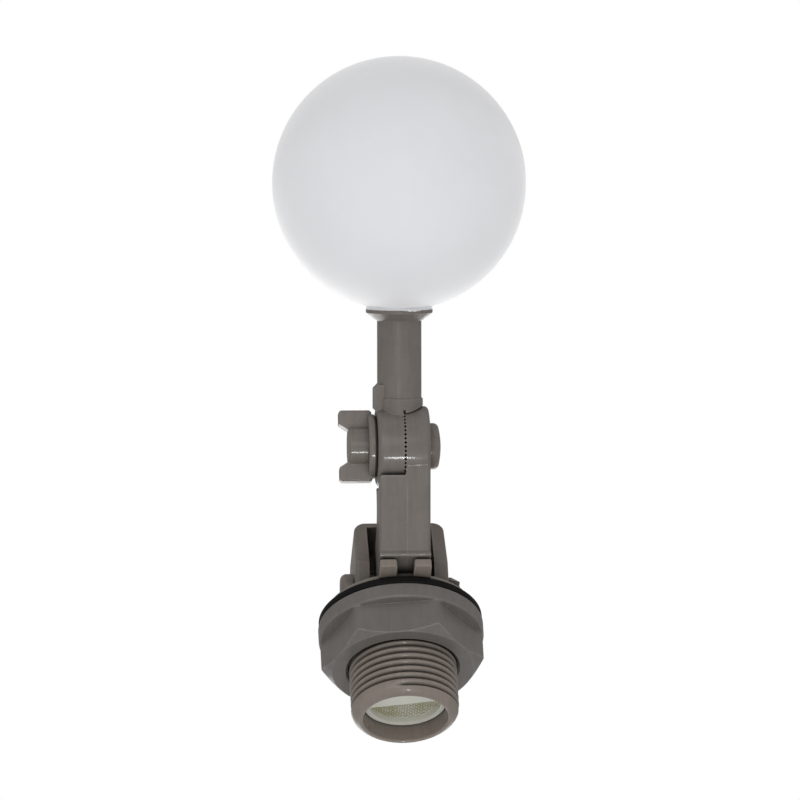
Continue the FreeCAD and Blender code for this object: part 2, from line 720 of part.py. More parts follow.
def make_lever():
    """Lower arm: pivot boss with cam, curved waist and serrated clamp disc."""
    side = lever_side()
    lever = across(side, -LEVER_DISC_WIDTH, HALF_LEVER)
    near_rim = edges_where(
        lever,
        lambda point: point.x > HALF_LEVER - SNAP and point.z > LIP_START,
    )
    lever = lever.makeFillet(LEVER_EDGE_ROUNDING, near_rim)
    far_rim = edges_where(
        lever,
        lambda point: point.x < SNAP - LEVER_DISC_WIDTH and point.z > LIP_START,
    )
    lever = lever.makeFillet(LEVER_OUTER_ROUNDING, far_rim)
    boss_half = CHEEK_GAP / 2 - FREE_GAP
    boss = cross_rod(LEVER_BOSS_RADIUS, -boss_half, boss_half)
    lever = lever.fuse([boss, lever_cam()]).removeSplitter()
    hole_half = boss_half + OVERSHOOT
    lever = lever.cut(cross_rod(PIN_RADIUS + RUNNING_FIT, -hole_half, hole_half))
    clamp = Vector(0, JOINT_OUT, JOINT_ALONG)
    shoulder = DISC_RADIUS + SHOULDER_GAP
    tools = [
        cross_rod(shoulder, -ARM_FACE_X, HALF_LEVER + OVERSHOOT),
        cross_rod(BOLT_RADIUS + RUNNING_FIT, -LEVER_DISC_WIDTH - OVERSHOOT, OVERSHOOT),
        cross_rod(TOOTH_INNER_RADIUS, -TOOTH_RECESS, OVERSHOOT),
        neck_block(BOLT_NECK / 2 + RUNNING_FIT),
    ]
    teeth = serration(-1)
    teeth.translate(Vector(-ARM_FACE_X, 0, 0))
    for tool in tools + [teeth]:
        tool.translate(clamp)
        lever = lever.cut(tool)
    return placed(lever, lever_frame())


def lever_cam():
    """Round cam beside the pin that pushes the plunger, in the lever's frame."""
    cam = cross_rod(CAM_RADIUS, -CAM_WIDTH / 2, CAM_WIDTH / 2, CAM_CENTRE_Y, CAM_CENTRE_Z)
    return placed(cam, lever_frame().inverse())


def neck_block(half, start_x=-LEVER_DISC_WIDTH):
    """Square bolt neck, or the recess for it, about the clamp axis."""
    return block((start_x, BOLT_NECK_LENGTH - LEVER_DISC_WIDTH), (-half, half), (-half, half))


def make_clamp_bolt():
    """Round-headed bolt with a square neck, its head against the lever."""
    seat_x = -LEVER_DISC_WIDTH - RUNNING_FIT
    crown_x = seat_x - BOLT_HEAD_THICKNESS
    end_x = WING_FACE_X + WING_NUT_LENGTH
    shank = turned_on_x([
        (seat_x - BOLT_HEAD_THICKNESS / 2, 0),
        (seat_x - BOLT_HEAD_THICKNESS / 2, BOLT_RADIUS),
        (end_x - BOLT_END_CHAMFER, BOLT_RADIUS),
        (end_x, BOLT_RADIUS - BOLT_END_CHAMFER),
        (end_x, 0),
    ])
    dome_radius = (BOLT_HEAD_RADIUS ** 2 + BOLT_HEAD_CROWN ** 2) / (2 * BOLT_HEAD_CROWN)
    head = cross_rod(BOLT_HEAD_RADIUS, crown_x, seat_x)
    head = head.common(Part.makeSphere(dome_radius, Vector(crown_x + dome_radius, 0, 0)))
    head = head.makeFillet(BOLT_HEAD_ROUNDING, edges_where(head, lambda point: point.x < seat_x - SNAP))
    bolt = shank.fuse([head, neck_block(BOLT_NECK / 2, seat_x)]).removeSplitter()
    return placed(bolt, FreeCAD.Placement(clamp_centre(), lever_frame().Rotation))


def wing(side):
    """One wing of the nut, as a plate that leans out past the hub."""
    start_x = WING_FACE_X + WING_LAND
    hub_x = WING_FACE_X + WING_NUT_LENGTH
    tip_x = hub_x + WING_OVERHANG
    outline = [
        Vector(start_x, 0, 0),
        Vector(start_x, 0, side * (WING_RADIUS - WING_EDGE)),
        Vector(start_x + WING_EDGE, 0, side * WING_RADIUS),
        Vector(tip_x - WING_EDGE, 0, side * WING_RADIUS),
        Vector(tip_x, 0, side * (WING_RADIUS - WING_EDGE)),
        Vector(tip_x, 0, side * WING_TIP_RADIUS),
        Vector(hub_x, 0, side * WING_ROOT_RADIUS),
        Vector(hub_x, 0, 0),
    ]
    plate = Part.Face(Part.makePolygon(outline + outline[:1])).extrude(Vector(0, WING_THICKNESS, 0))
    plate.translate(Vector(0, -WING_THICKNESS / 2, 0))
    free = edges_where(plate, lambda point: abs(point.z) > WING_TIP_RADIUS - SNAP)
    return plate.makeFillet(WING_ROUNDING, free)


def make_wing_nut():
    """Flanged wing nut on the clamp bolt."""
    hub_x = WING_FACE_X + WING_NUT_LENGTH
    flange_x = WING_FACE_X + WING_FLANGE_THICKNESS
    core = turned_on_x([
        (WING_FACE_X, 0),
        (WING_FACE_X, WING_FLANGE_RADIUS - WING_FLANGE_EDGE),
        (WING_FACE_X + WING_FLANGE_EDGE, WING_FLANGE_RADIUS),
        (flange_x - WING_FLANGE_EDGE, WING_FLANGE_RADIUS),
        (flange_x, WING_FLANGE_RADIUS - WING_FLANGE_EDGE),
        (flange_x, WING_HUB_RADIUS),
        (hub_x - WING_EDGE, WING_HUB_RADIUS),
        (hub_x, WING_HUB_RADIUS - WING_EDGE),
        (hub_x, 0),
    ])
    nut = core.fuse([wing(1), wing(-1)]).removeSplitter()
    nut = nut.cut(cross_rod(BOLT_RADIUS + RUNNING_FIT, 0, hub_x + WING_OVERHANG))
    nut.rotate(Vector(0, 0, 0), Vector(1, 0, 0), WING_SET_ANGLE)
    return placed(nut, FreeCAD.Placement(clamp_centre(), lever_frame().Rotation))


def arm_stem():
    """Stem of the upper arm with its collar, flare and float cup."""
    cup_radius = FLARE_RADIUS - CUP_WALL
    cup_floor = FLARE_TOP - CUP_DEPTH
    outside = turned_on_z([
        (0, 0),
        (COLLAR_RADIUS, 0),
        (COLLAR_RADIUS, COLLAR_REACH - COLLAR_ROUNDING),
        (COLLAR_RADIUS - COLLAR_ROUNDING, COLLAR_REACH),
        (STEM_RADIUS, COLLAR_REACH),
        (STEM_RADIUS, FLARE_START),
        (FLARE_RADIUS, FLARE_START + FLARE_HEIGHT),
        (FLARE_RADIUS, FLARE_TOP),
        (cup_radius, FLARE_TOP),
        (cup_radius, cup_floor),
        (STEM_BORE_RADIUS, cup_floor),
        (STEM_BORE_RADIUS, STEM_BORE_START),
        (0, STEM_BORE_START),
    ])
    outside.translate(Vector(STEM_OFFSET, 0, 0))
    return outside


def arm_tongue():
    """Stiffening tongue that runs from the clamp disc up beside the stem."""
    outer_x = ARM_DISC_WIDTH + TONGUE_PROUD
    inner_x = outer_x - TONGUE_THICKNESS
    outline = [
        Vector(inner_x, 0, TONGUE_START - DISC_ROUNDING),
        Vector(ARM_DISC_WIDTH - DISC_ROUNDING, 0, TONGUE_START - DISC_ROUNDING),
        Vector(outer_x, 0, TONGUE_START + TONGUE_PROUD),
        Vector(outer_x, 0, TONGUE_REACH - TONGUE_BEVEL),
        Vector(outer_x - TONGUE_BEVEL, 0, TONGUE_REACH),
        Vector(inner_x, 0, TONGUE_REACH),
    ]
    plate = Part.Face(Part.makePolygon(outline + outline[:1])).extrude(Vector(0, TONGUE_WIDTH, 0))
    plate.translate(Vector(0, -TONGUE_WIDTH / 2, 0))
    return plate


def make_upper_arm():
    """Upper arm: serrated disc, collar over the lever's disc, stem and cup."""
    outer_x = ARM_DISC_WIDTH
    disc = cross_rod(DISC_RADIUS, ARM_FACE_X, outer_x)
    rim = edges_where(disc, lambda point: point.x > outer_x - SNAP)
    disc = disc.makeFillet(DISC_ROUNDING, rim)
    over_disc = cross_rod(DISC_RADIUS + FREE_GAP, -LEVER_WIDTH, ARM_FACE_X)
    beside_disc = cross_rod(DISC_RADIUS - DISC_ROUNDING, ARM_FACE_X, LEVER_WIDTH)
    stem = arm_stem().cut(over_disc).cut(beside_disc)
    arm = disc.fuse([stem, arm_tongue()]).removeSplitter()
    teeth = serration(1)
    teeth.rotate(Vector(0, 0, 0), Vector(1, 0, 0), ARM_LEAN)
    teeth.translate(Vector(ARM_FACE_X, 0, 0))
    arm = arm.cut(teeth)
    arm = arm.cut(cross_rod(TOOTH_INNER_RADIUS, -OVERSHOOT, TOOTH_RECESS))
    arm = arm.cut(cross_rod(BOLT_RADIUS + RUNNING_FIT, -OVERSHOOT, outer_x + OVERSHOOT))
    return placed(arm, arm_frame())


def make_float_ball():
    """Hollow ball with a collar on the flare, a neck in its cup and a spigot."""
    centre = Vector(STEM_OFFSET, 0, FLOAT_CENTRE)
    outer = Part.makeSphere(FLOAT_RADIUS, centre)
    hollow = Part.makeSphere(FLOAT_RADIUS - FLOAT_WALL, centre)
    neck_radius = FLARE_RADIUS - CUP_WALL - RUNNING_FIT
    floor = FLARE_TOP - CUP_DEPTH + PRESS_FIT
    collar = FLARE_TOP + PRESS_FIT
    root = FLOAT_CENTRE - math.sqrt(FLOAT_RADIUS ** 2 - FLOAT_COLLAR_RADIUS ** 2) + FLOAT_WALL / 2
    spigot_radius = STEM_BORE_RADIUS - RUNNING_FIT
    neck = turned_on_z([
        (0, floor - FLOAT_SPIGOT_LENGTH),
        (spigot_radius, floor - FLOAT_SPIGOT_LENGTH),
        (spigot_radius, floor),
        (neck_radius, floor),
        (neck_radius, collar),
        (FLOAT_COLLAR_RADIUS, collar),
        (FLOAT_COLLAR_RADIUS, root),
        (0, root),
    ])
    neck.translate(Vector(STEM_OFFSET, 0, 0))
    ball = outer.fuse(neck).removeSplitter().cut(hollow)
    return placed(ball, arm_frame())


PIECES = {
    "valve_body": make_valve_body,
    "flange_gasket": make_flange_gasket,
    "lock_nut": make_lock_nut,
    "inlet_strainer": make_inlet_strainer,
    "strainer_mesh": make_strainer_mesh,
    "orifice_nozzle": make_orifice_nozzle,
    "nozzle_o_ring": make_nozzle_o_ring,
    "plunger": make_plunger,
    "plunger_seal": make_plunger_seal,
    "lever_pin": make_lever_pin,
    "lever": make_lever,
    "clamp_bolt": make_clamp_bolt,
    "wing_nut": make_wing_nut,
    "upper_arm": make_upper_arm,
    "float_ball": make_float_ball,
}


def main():
    """Build every piece and write it as its own STEP file."""
    os.makedirs("parts", exist_ok=True)
    for name, make in PIECES.items():
        shape = make()
        shape.exportStep(f"parts/{name}.step")
        box = shape.BoundBox
        print(name, len(shape.Solids), shape.isValid(), round(shape.Volume, 1), box)


if __name__ == "__main__":
    main()
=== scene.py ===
"""Looks of the tank float valve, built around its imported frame.

Sizes are in millimetres and meshes are written in metres. +Z is up as
installed, the inlet points along -Y and X is the pivot direction.
"""

import json
import logging
import math
from dataclasses import dataclass, field
from enum import Enum
from typing import Any, Iterable, Sequence

import bmesh
import bpy
from mathutils import Matrix, Vector


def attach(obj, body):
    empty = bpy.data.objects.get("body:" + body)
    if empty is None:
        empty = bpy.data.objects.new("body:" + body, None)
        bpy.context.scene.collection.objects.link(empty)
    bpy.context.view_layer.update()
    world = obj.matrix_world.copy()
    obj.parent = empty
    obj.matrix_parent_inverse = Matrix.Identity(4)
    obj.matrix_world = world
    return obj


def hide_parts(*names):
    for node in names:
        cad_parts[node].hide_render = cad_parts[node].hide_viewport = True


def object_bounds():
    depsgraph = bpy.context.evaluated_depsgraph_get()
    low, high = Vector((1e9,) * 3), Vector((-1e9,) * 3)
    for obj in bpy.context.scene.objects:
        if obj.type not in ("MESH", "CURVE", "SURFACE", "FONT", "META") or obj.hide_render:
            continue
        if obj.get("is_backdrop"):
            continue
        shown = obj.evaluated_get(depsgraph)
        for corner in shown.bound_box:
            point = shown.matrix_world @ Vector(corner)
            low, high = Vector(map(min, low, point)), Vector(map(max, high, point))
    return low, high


MM = 0.001
MERGE_MM = 0.0005
# Two faces are one flat region where their normals' dot product is over FLAT_DOT, and
# a corner takes the largest region's normal where that is FLAT_SHARE times the next.
FLAT_DOT = 0.99999
FLAT_SHARE = 5.0
LOG = logging.getLogger("float_valve")
Point = tuple[float, float]
Colour = tuple[float, float, float]


class Slot(Enum):
    """Material slots of the record."""

    BODY = "body_plastic"
    NUT = "nut_plastic"
    ARM = "arm_plastic"
    PIN = "pin_plastic"
    RUBBER = "gasket_rubber"
    STRAINER = "strainer_plastic"
    SCREEN = "screen_mesh"
    NOZZLE = "nozzle_plastic"
    FLOAT = "float_plastic"


class Ride(Enum):
    """Rigid bodies that the pieces move with."""

    BODY = "body"
    NUT = "nut"
    VALVE = "valve"
    LEVER = "lever_arm"
    FLOAT = "float_arm"
    WING = "clamp_nut"


def linear(red: int, green: int, blue: int) -> Colour:
    """Linear colour of an 8-bit screen colour.

    Args:
        red, green, blue: Screen values from 0 to 255.

    Returns:
        The same colour as linear values from 0 to 1.
    """
    values = []
    for level in (red, green, blue):
        part = level / 255
        values.append(part / 12.92 if part <= 0.04045 else ((part + 0.055) / 1.055) ** 2.4)
    return (values[0], values[1], values[2])


# ---------------------------------------------------------------- finishes


class Nodes:
    """A node tree, filled by short calls."""

    prefix = ""

    def __init__(self, tree: bpy.types.NodeTree) -> None:
        """Start with an empty tree."""
        self.tree = tree
        self.tree.nodes.clear()

    def add(self, kind: str, inputs: dict[Any, Any] | None = None, **settings: Any) -> bpy.types.Node:
        """Add a node, set it up and link or fill its inputs.

        Args:
            kind: The node type without the tree's prefix.
            inputs: Input name or index to a value or an output socket.
            settings: Properties of the node.

        Returns:
            The new node.
        """
        node = self.tree.nodes.new(self.prefix + kind)
        for key, value in settings.items():
            setattr(node, key, value)
        for key, value in (inputs or {}).items():
            if isinstance(value, bpy.types.NodeSocket):
                self.tree.links.new(value, node.inputs[key])
            else:
                node.inputs[key].default_value = value
        return node


class ShaderNodes(Nodes):
    """A node tree of shader nodes."""

    prefix = "ShaderNode"

    def ranged(
        self, value: bpy.types.NodeSocket, low: float, high: float, out: Point
    ) -> bpy.types.NodeSocket:
        """Map a value from one range to another, clamped.

        Args:
            value: The input socket.
            low, high: The range read.
            out: The pair of values that it becomes.

        Returns:
            The result output.
        """
        inputs = {0: value, 1: low, 2: high, 3: out[0], 4: out[1]}
        return self.add("MapRange", inputs).outputs[0]

    def math(self, operation: str, *terms: Any, **settings: Any) -> bpy.types.NodeSocket:
        """Result of a math node on one or two terms."""
        return self.add("Math", dict(enumerate(terms)), operation=operation, **settings).outputs[0]


class Graph(ShaderNodes):
    """A material's node tree."""

    def __init__(self, name: str) -> None:
        """Start an empty material.

        Args:
            name: The material's name.
        """
        self.material = bpy.data.materials.new(name)
        self.material.use_nodes = True
        super().__init__(self.material.node_tree)

    def place(self, scale: Sequence[float] = (1, 1, 1)) -> bpy.types.NodeSocket:
        """Object coordinates in millimetres.

        Args:
            scale: Stretch of the pattern along each axis.

        Returns:
            The vector output.
        """
        coordinates = self.add("TexCoord").outputs["Object"]
        size = [value / MM for value in scale]
        return self.add("Mapping", {"Vector": coordinates, "Scale": size}).outputs["Vector"]

    def noise(
        self, place: bpy.types.NodeSocket, grain_mm: float, detail: float = 3.0, roughness: float = 0.55
    ) -> bpy.types.NodeSocket:
        """Noise with a grain size in millimetres.

        Args:
            place: Coordinates in millimetres.
            grain_mm: Size of the pattern's cells.
            detail: Octaves of detail.
            roughness: Strength of the finer octaves.

        Returns:
            The factor output.
        """
        inputs = {"Vector": place, "Scale": 1 / grain_mm, "Detail": detail, "Roughness": roughness}
        return self.add("TexNoise", inputs).outputs["Fac"]

    def mixed(self, factor: bpy.types.NodeSocket, first: Colour, second: Colour) -> bpy.types.NodeSocket:
        """Blend of two colours by a factor socket.

        Args:
            factor: The blend factor.
            first: Colour at 0.
            second: Colour at 1.

        Returns:
            The colour output.
        """
        node = self.add("Mix", data_type="RGBA")
        self.tree.links.new(factor, node.inputs["Factor"])
        node.inputs["A"].default_value = (*first, 1)
        node.inputs["B"].default_value = (*second, 1)
        return node.outputs["Result"]

    def times(self, colour: bpy.types.NodeSocket, factor: bpy.types.NodeSocket) -> bpy.types.NodeSocket:
        """Colour multiplied by a grey factor.

        Args:
            colour: The colour output.
            factor: A value output.

        Returns:
            The product's output.
        """
        node = self.add("Mix", data_type="RGBA", blend_type="MULTIPLY")
        node.inputs["Factor"].default_value = 1.0
        self.tree.links.new(colour, node.inputs["A"])
        self.tree.links.new(factor, node.inputs["B"])
        return node.outputs["Result"]

    def close(self, shader: bpy.types.NodeSocket) -> bpy.types.Material:
        """Link the shader to the output.

        Args:
            shader: The surface shader.

        Returns:
            The finished material.
        """
        self.add("OutputMaterial", {"Surface": shader})
        return self.material


def shaded(colour: Colour, factor: float) -> Colour:
    """Colour made lighter or darker by a factor."""
    return (colour[0] * factor, colour[1] * factor, colour[2] * factor)


@dataclass(frozen=True)
class MouldedPlastic:
    """Opaque moulded plastic: cloudy tone, pale edges that are partly rubbed wear and partly a painted
    highlight, painted shade in corners and a thin gloss.

    Sizes end in _mm; grain and edge sizes are those of the marks on the surface,
    the pale edges being partly rubbed wear and partly a painted highlight, and
    corner_mm is how far the painted shade in corners reaches. A seam is the pale
    parting line in the plane x = seam_x, and from a set y on, behind the flange,
    the colour is painted a tone darker as shade.
    """

    name: str
    colour: Colour
    roughness: float = 0.42
    cloud: float = 0.06
    cloud_mm: float = 7.0
    speck_mm: float = 0.35
    flow_stretch: tuple[float, float, float] = (0.9, 0.14, 0.14)
    grain_mm: float = 0.22
    grain_depth: float = 0.06
    edge_mm: float = 0.22
    # The pale edges are partly rubbed wear and partly a painted highlight.
    wear_and_highlight_mm: float = 0.7
    wear_and_highlight_lift: float = 0.3
    # Painted shade in corners and recesses: corner_mm is how far it reaches and corner_shade its darkest
    # share.
    corner_mm: float = 1.1
    corner_shade: float = 0.62
    gloss: float = 0.22
    seam_x: float | None = None
    seam_mm: float = 0.28
    seam_lift: float = 1.35
    seam_end_y: float = 22.0
    seam_fade: float = 6.0
    # Painted shade behind the flange: where it starts in y, the run over which it deepens and its darkest
    # share.
    painted_shade_y: float | None = None
    painted_shade_run: float = 1.6
    painted_shade_level: float = 0.72

    def tone(self, graph: Graph, place: bpy.types.NodeSocket) -> bpy.types.NodeSocket:
        """Clouds, fine specks, drawn flow marks, the pale seam and a painted shade behind the flange.

        Args:
            graph: The material's graph.
            place: Coordinates in millimetres.

        Returns:
            The colour before its edges and corners.
        """
        cloud = graph.ranged(graph.noise(place, self.cloud_mm), 0.3, 0.7, (0, 1))
        tone = graph.mixed(cloud, shaded(self.colour, 1 - self.cloud), shaded(self.colour, 1 + self.cloud))
        speck = graph.ranged(graph.noise(place, self.speck_mm, 2), 0.28, 0.5, (0.9, 1.0))
        drawn = graph.noise(graph.place(self.flow_stretch), 1.0, 2)
        flow = graph.ranged(drawn, 0.35, 0.65, (0.95, 1.04))
        tone = graph.times(graph.times(tone, speck), flow)
        spot = graph.add("SeparateXYZ", {0: place}).outputs
        # Painted shade: from the set y on, the colour darkens towards its darkest share.
        if self.painted_shade_y is not None:
            depth = (self.painted_shade_y, self.painted_shade_y + self.painted_shade_run)
            tone = graph.times(tone, graph.ranged(spot[1], *depth, (1.0, self.painted_shade_level)))
        if self.seam_x is None:
            return tone
        away = graph.math("ABSOLUTE", graph.math("SUBTRACT", spot[0], self.seam_x))
        line = graph.ranged(away, self.seam_mm, 0.0, (0, 1))
        patchy = graph.ranged(graph.noise(place, 5.0), 0.35, 0.6, (0.2, 1.0))
        fade = graph.ranged(spot[1], self.seam_end_y, self.seam_end_y - self.seam_fade, (0, 1))
        line = graph.math("MULTIPLY", graph.math("MULTIPLY", line, patchy), fade)
        return graph.times(tone, graph.ranged(line, 0.0, 1.0, (1.0, self.seam_lift)))

    def worn_and_highlit_edges(self, graph: Graph, place: bpy.types.NodeSocket) -> bpy.types.NodeSocket:
        """How far each edge is painted pale, partly as rubbed wear and partly as a painted highlight.

        Args:
            graph: The material's graph.
            place: Coordinates in millimetres.

        Returns:
            A factor from 0 to 1.
        """
        soft = graph.add("Bevel", {"Radius": self.wear_and_highlight_mm * MM}, samples=6).outputs["Normal"]
        flat = graph.add("NewGeometry").outputs["Normal"]
        turn = graph.add("VectorMath", {0: soft, 1: flat}, operation="DOT_PRODUCT").outputs["Value"]
        edge_pale = graph.ranged(turn, 0.997, 0.93, (0, self.wear_and_highlight_lift))
        patchy = graph.ranged(graph.noise(place, 1.6), 0.35, 0.65, (0.35, 1.0))
        return graph.math("MULTIPLY", edge_pale, patchy)

    def material(self) -> bpy.types.Material:
        """Build the material.

        Returns:
            A material on object coordinates.
        """
        graph = Graph(self.name)
        place = graph.place()
        soft = graph.add("Bevel", {"Radius": self.edge_mm * MM}, samples=6).outputs["Normal"]
        # Pale edges: partly rubbed wear, partly a painted highlight.
        pale = graph.add("Mix", data_type="RGBA")
        graph.tree.links.new(self.worn_and_highlit_edges(graph, place), pale.inputs["Factor"])
        graph.tree.links.new(self.tone(graph, place), pale.inputs["A"])
        pale.inputs["B"].default_value = (*shaded(self.colour, 2.0), 1)
        # Painted shade: the colour darkens in corners and recesses that ambient occlusion finds closed in.
        open_air = graph.add("AmbientOcclusion", {"Distance": self.corner_mm * MM}, samples=6).outputs["AO"]
        colour = graph.times(
            pale.outputs["Result"], graph.ranged(open_air, 0.25, 0.85, (self.corner_shade, 1.0))
        )
        rough = graph.ranged(
            graph.noise(place, 2.4), 0.3, 0.7, (self.roughness - 0.05, self.roughness + 0.07)
        )
        bump = graph.add(
            "Bump",
            {
                "Strength": self.grain_depth,
                "Distance": 0.1 * MM,
                "Height": graph.noise(place, self.grain_mm, 2),
                "Normal": soft,
            },
        )
        shader = graph.add(
            "BsdfPrincipled",
            {
                "Base Color": colour,
                "Roughness": rough,
                "Normal": bump.outputs["Normal"],
                "IOR": 1.49,
                "Specular IOR Level": 0.36,
                "Coat Weight": self.gloss,
                "Coat Roughness": 0.09,
                "Coat IOR": 1.5,
                "Coat Normal": bump.outputs["Normal"],
            },
        )
        return graph.close(shader.outputs[0])


@dataclass(frozen=True)
class MattRubber:
    """Black rubber with a dusty bloom."""

    name: str
    colour: Colour
    roughness: float = 0.62

    def material(self) -> bpy.types.Material:
        """Build the material.

        Returns:
            A material on object coordinates.
        """
        graph = Graph(self.name)
        place = graph.place()
        bloom = graph.ranged(graph.noise(place, 1.8, 4), 0.45, 0.75, (0, 1))
        tone = graph.mixed(bloom, self.colour, shaded(self.colour, 1.8))
        gloss = graph.ranged(
            graph.noise(place, 0.9), 0.3, 0.7, (self.roughness - 0.08, self.roughness + 0.1)
        )
        soft = graph.add("Bevel", {"Radius": 0.2 * MM}, samples=4).outputs["Normal"]
        bump = graph.add(
            "Bump",
            {"Strength": 0.12, "Distance": 0.1 * MM, "Height": graph.noise(place, 0.3), "Normal": soft},
        )
        shader = graph.add(
            "BsdfPrincipled",
            {
                "Base Color": tone,
                "Roughness": gloss,
                "Normal": bump.outputs["Normal"],
                "Specular IOR Level": 0.3,
            },
        )
        return graph.close(shader.outputs[0])


@dataclass(frozen=True)
class MilkyPlastic:
    """Translucent white plastic with slight blotches of wall thickness.

    glow is the share of light that spreads inside, to depth_mm, and haze the
    bright bloom at grazing angles.
    """

    name: str
    colour: Colour
    roughness: float = 0.45
    glow: float = 0.35
    depth_mm: float = 2.5
    blotch_mm: float = 14.0
    blotch: float = 0.02
    grain_depth: float = 0.03
    haze: float = 0.0

    def material(self) -> bpy.types.Material:
        """Build the material.

        Returns:
            A material on object coordinates.
        """
        graph = Graph(self.name)
        place = graph.place()
        blotch = graph.ranged(graph.noise(place, self.blotch_mm, 2), 0.3, 0.7, (0, 1))
        tone = graph.mixed(blotch, shaded(self.colour, 1 - self.blotch), self.colour)
        gloss = graph.ranged(
            graph.noise(place, 3.0), 0.3, 0.7, (self.roughness - 0.05, self.roughness + 0.06)
        )
        bump = graph.add(
            "Bump",
            {"Strength": self.grain_depth, "Distance": 0.1 * MM, "Height": graph.noise(place, 0.5, 2)},
        )
        shader = graph.add(
            "BsdfPrincipled",
            {
                "Base Color": tone,
                "Roughness": gloss,
                "Normal": bump.outputs["Normal"],
                "Subsurface Weight": self.glow,
                "Subsurface Radius": (1.0, 0.95, 0.9),
                "Subsurface Scale": self.depth_mm * MM,
                "Specular IOR Level": 0.35,
                "Sheen Weight": self.haze,
                "Sheen Roughness": 0.5,
            },
        )
        return graph.close(shader.outputs[0])


@dataclass(frozen=True)
class WovenScreen:
    """Fine plastic gauze with a stain of scale."""

    name: str
    colour: Colour
    stain: Colour

    def material(self) -> bpy.types.Material:
        """Build the material.

        Returns:
            A material on object coordinates.
        """
        graph = Graph(self.name)
        place = graph.place()
        stain = graph.ranged(graph.noise(place, 4.0, 4), 0.42, 0.62, (0, 1))
        tone = graph.mixed(stain, self.colour, self.stain)
        bump = graph.add(
            "Bump", {"Strength": 0.2, "Distance": 0.05 * MM, "Height": graph.noise(place, 0.1)}
        )
        shader = graph.add(
            "BsdfPrincipled",
            {
                "Base Color": tone,
                "Roughness": graph.ranged(graph.noise(place, 1.0), 0.3, 0.7, (0.45, 0.65)),
                "Normal": bump.outputs["Normal"],
            },
        )
        return graph.close(shader.outputs[0])


class Finishes:
    """The object's finishes, one material for each slot."""

    def __init__(self) -> None:
        """Build every material once."""
        grey = linear(105, 99, 94)
        looks = {
            # The body's corners and its side behind the flange carry painted shade.
            Slot.BODY: MouldedPlastic(
                "body_grey", linear(123, 114, 106), corner_mm=4.5, corner_shade=0.22, painted_shade_y=2.4
            ),
            # The nut's pale edges carry a stronger painted highlight.
            Slot.NUT: MouldedPlastic("nut_grey", linear(103, 98, 94), roughness=0.46, wear_and_highlight_lift=0.6),
            Slot.ARM: MouldedPlastic("arm_grey", grey, seam_x=-0.46, corner_mm=3.0, corner_shade=0.3),
            Slot.PIN: MouldedPlastic("pin_grey", linear(110, 103, 97), corner_mm=2.6, corner_shade=0.4),
            Slot.RUBBER: MattRubber("gasket_black", linear(4, 4, 5)),
            Slot.STRAINER: MilkyPlastic("strainer_white", linear(208, 208, 198), glow=0.2, depth_mm=0.8),
            Slot.SCREEN: WovenScreen("gauze", linear(200, 198, 182), linear(182, 178, 148)),
            Slot.NOZZLE: MilkyPlastic("nozzle_white", linear(224, 224, 220), glow=0.1, depth_mm=0.6),
            Slot.FLOAT: MilkyPlastic(
                "float_white", linear(230, 230, 233), roughness=0.55, glow=0.6, depth_mm=5.0, haze=0.9
            ),
        }
        self.materials = {slot: look.material() for slot, look in looks.items()}

    def __getitem__(self, slot: Slot) -> bpy.types.Material:
        """Material of a slot."""
        return self.materials[slot]


# ---------------------------------------------------------------- mesh work


def cad_copy(node: str) -> bmesh.types.BMesh:
    """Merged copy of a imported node, in millimetres.

    Args:
        node: The node's name.

    Returns:
        A closed mesh that can be changed freely.
    """
    shape = bmesh.new()
    shape.from_mesh(FRAME["nodes"][node].data)
    bmesh.ops.scale(shape, vec=(1 / MM, 1 / MM, 1 / MM), verts=shape.verts)
    bmesh.ops.remove_doubles(shape, verts=shape.verts, dist=MERGE_MM)
    bmesh.ops.dissolve_degenerate(shape, dist=MERGE_MM, edges=shape.edges)
    return shape


def joint_place(name: str) -> Vector:
    """Point on a joint's axis, in millimetres.

    Args:
        name: The joint's name in the frame.

    Returns:
        The point.
    """
    joint = next(joint for joint in FRAME["joints"] if joint["name"] == name)
    return Vector(joint["pos_m"]) / MM


def loose_object(name: str, shape: bmesh.types.BMesh) -> bpy.types.Object:
    """Object in the scene from a mesh under construction.

    Args:
        name: The object's name.
        shape: Its mesh, freed.

    Returns:
        The new object.
    """
    mesh = bpy.data.meshes.new(name)
    shape.to_mesh(mesh)
    shape.free()
    made = bpy.data.objects.new(name, mesh)
    bpy.context.scene.collection.objects.link(made)
    return made


def settled(made: bpy.types.Object) -> bpy.types.Mesh:
    """Mesh of an object with its modifiers applied; the object goes away.

    Args:
        made: The object to evaluate.

    Returns:
        A plain mesh.
    """
    bpy.context.view_layer.update()
    graph = bpy.context.evaluated_depsgraph_get()
    mesh = bpy.data.meshes.new_from_object(made.evaluated_get(graph))
    bpy.data.objects.remove(made)
    return mesh


def combined(
    base: bmesh.types.BMesh, tools: Iterable[tuple[str, bmesh.types.BMesh]]
) -> bmesh.types.BMesh:
    """Solid after exact boolean steps.

    Args:
        base: The first solid, freed.
        tools: Pairs of an operation name and a solid, freed.

    Returns:
        The result as a new mesh under construction.
    """
    target = loose_object("base", base)
    others = []
    for operation, shape in tools:
        other = loose_object("tool", shape)
        step = target.modifiers.new("step", "BOOLEAN")
        step.operation = operation
        step.solver = "EXACT"
        step.object = other
        others.append(other)
    mesh = settled(target)
    for other in others:
        bpy.data.objects.remove(other)
    result = bmesh.new()
    result.from_mesh(mesh)
    bmesh.ops.remove_doubles(result, verts=result.verts, dist=MERGE_MM)
    return result


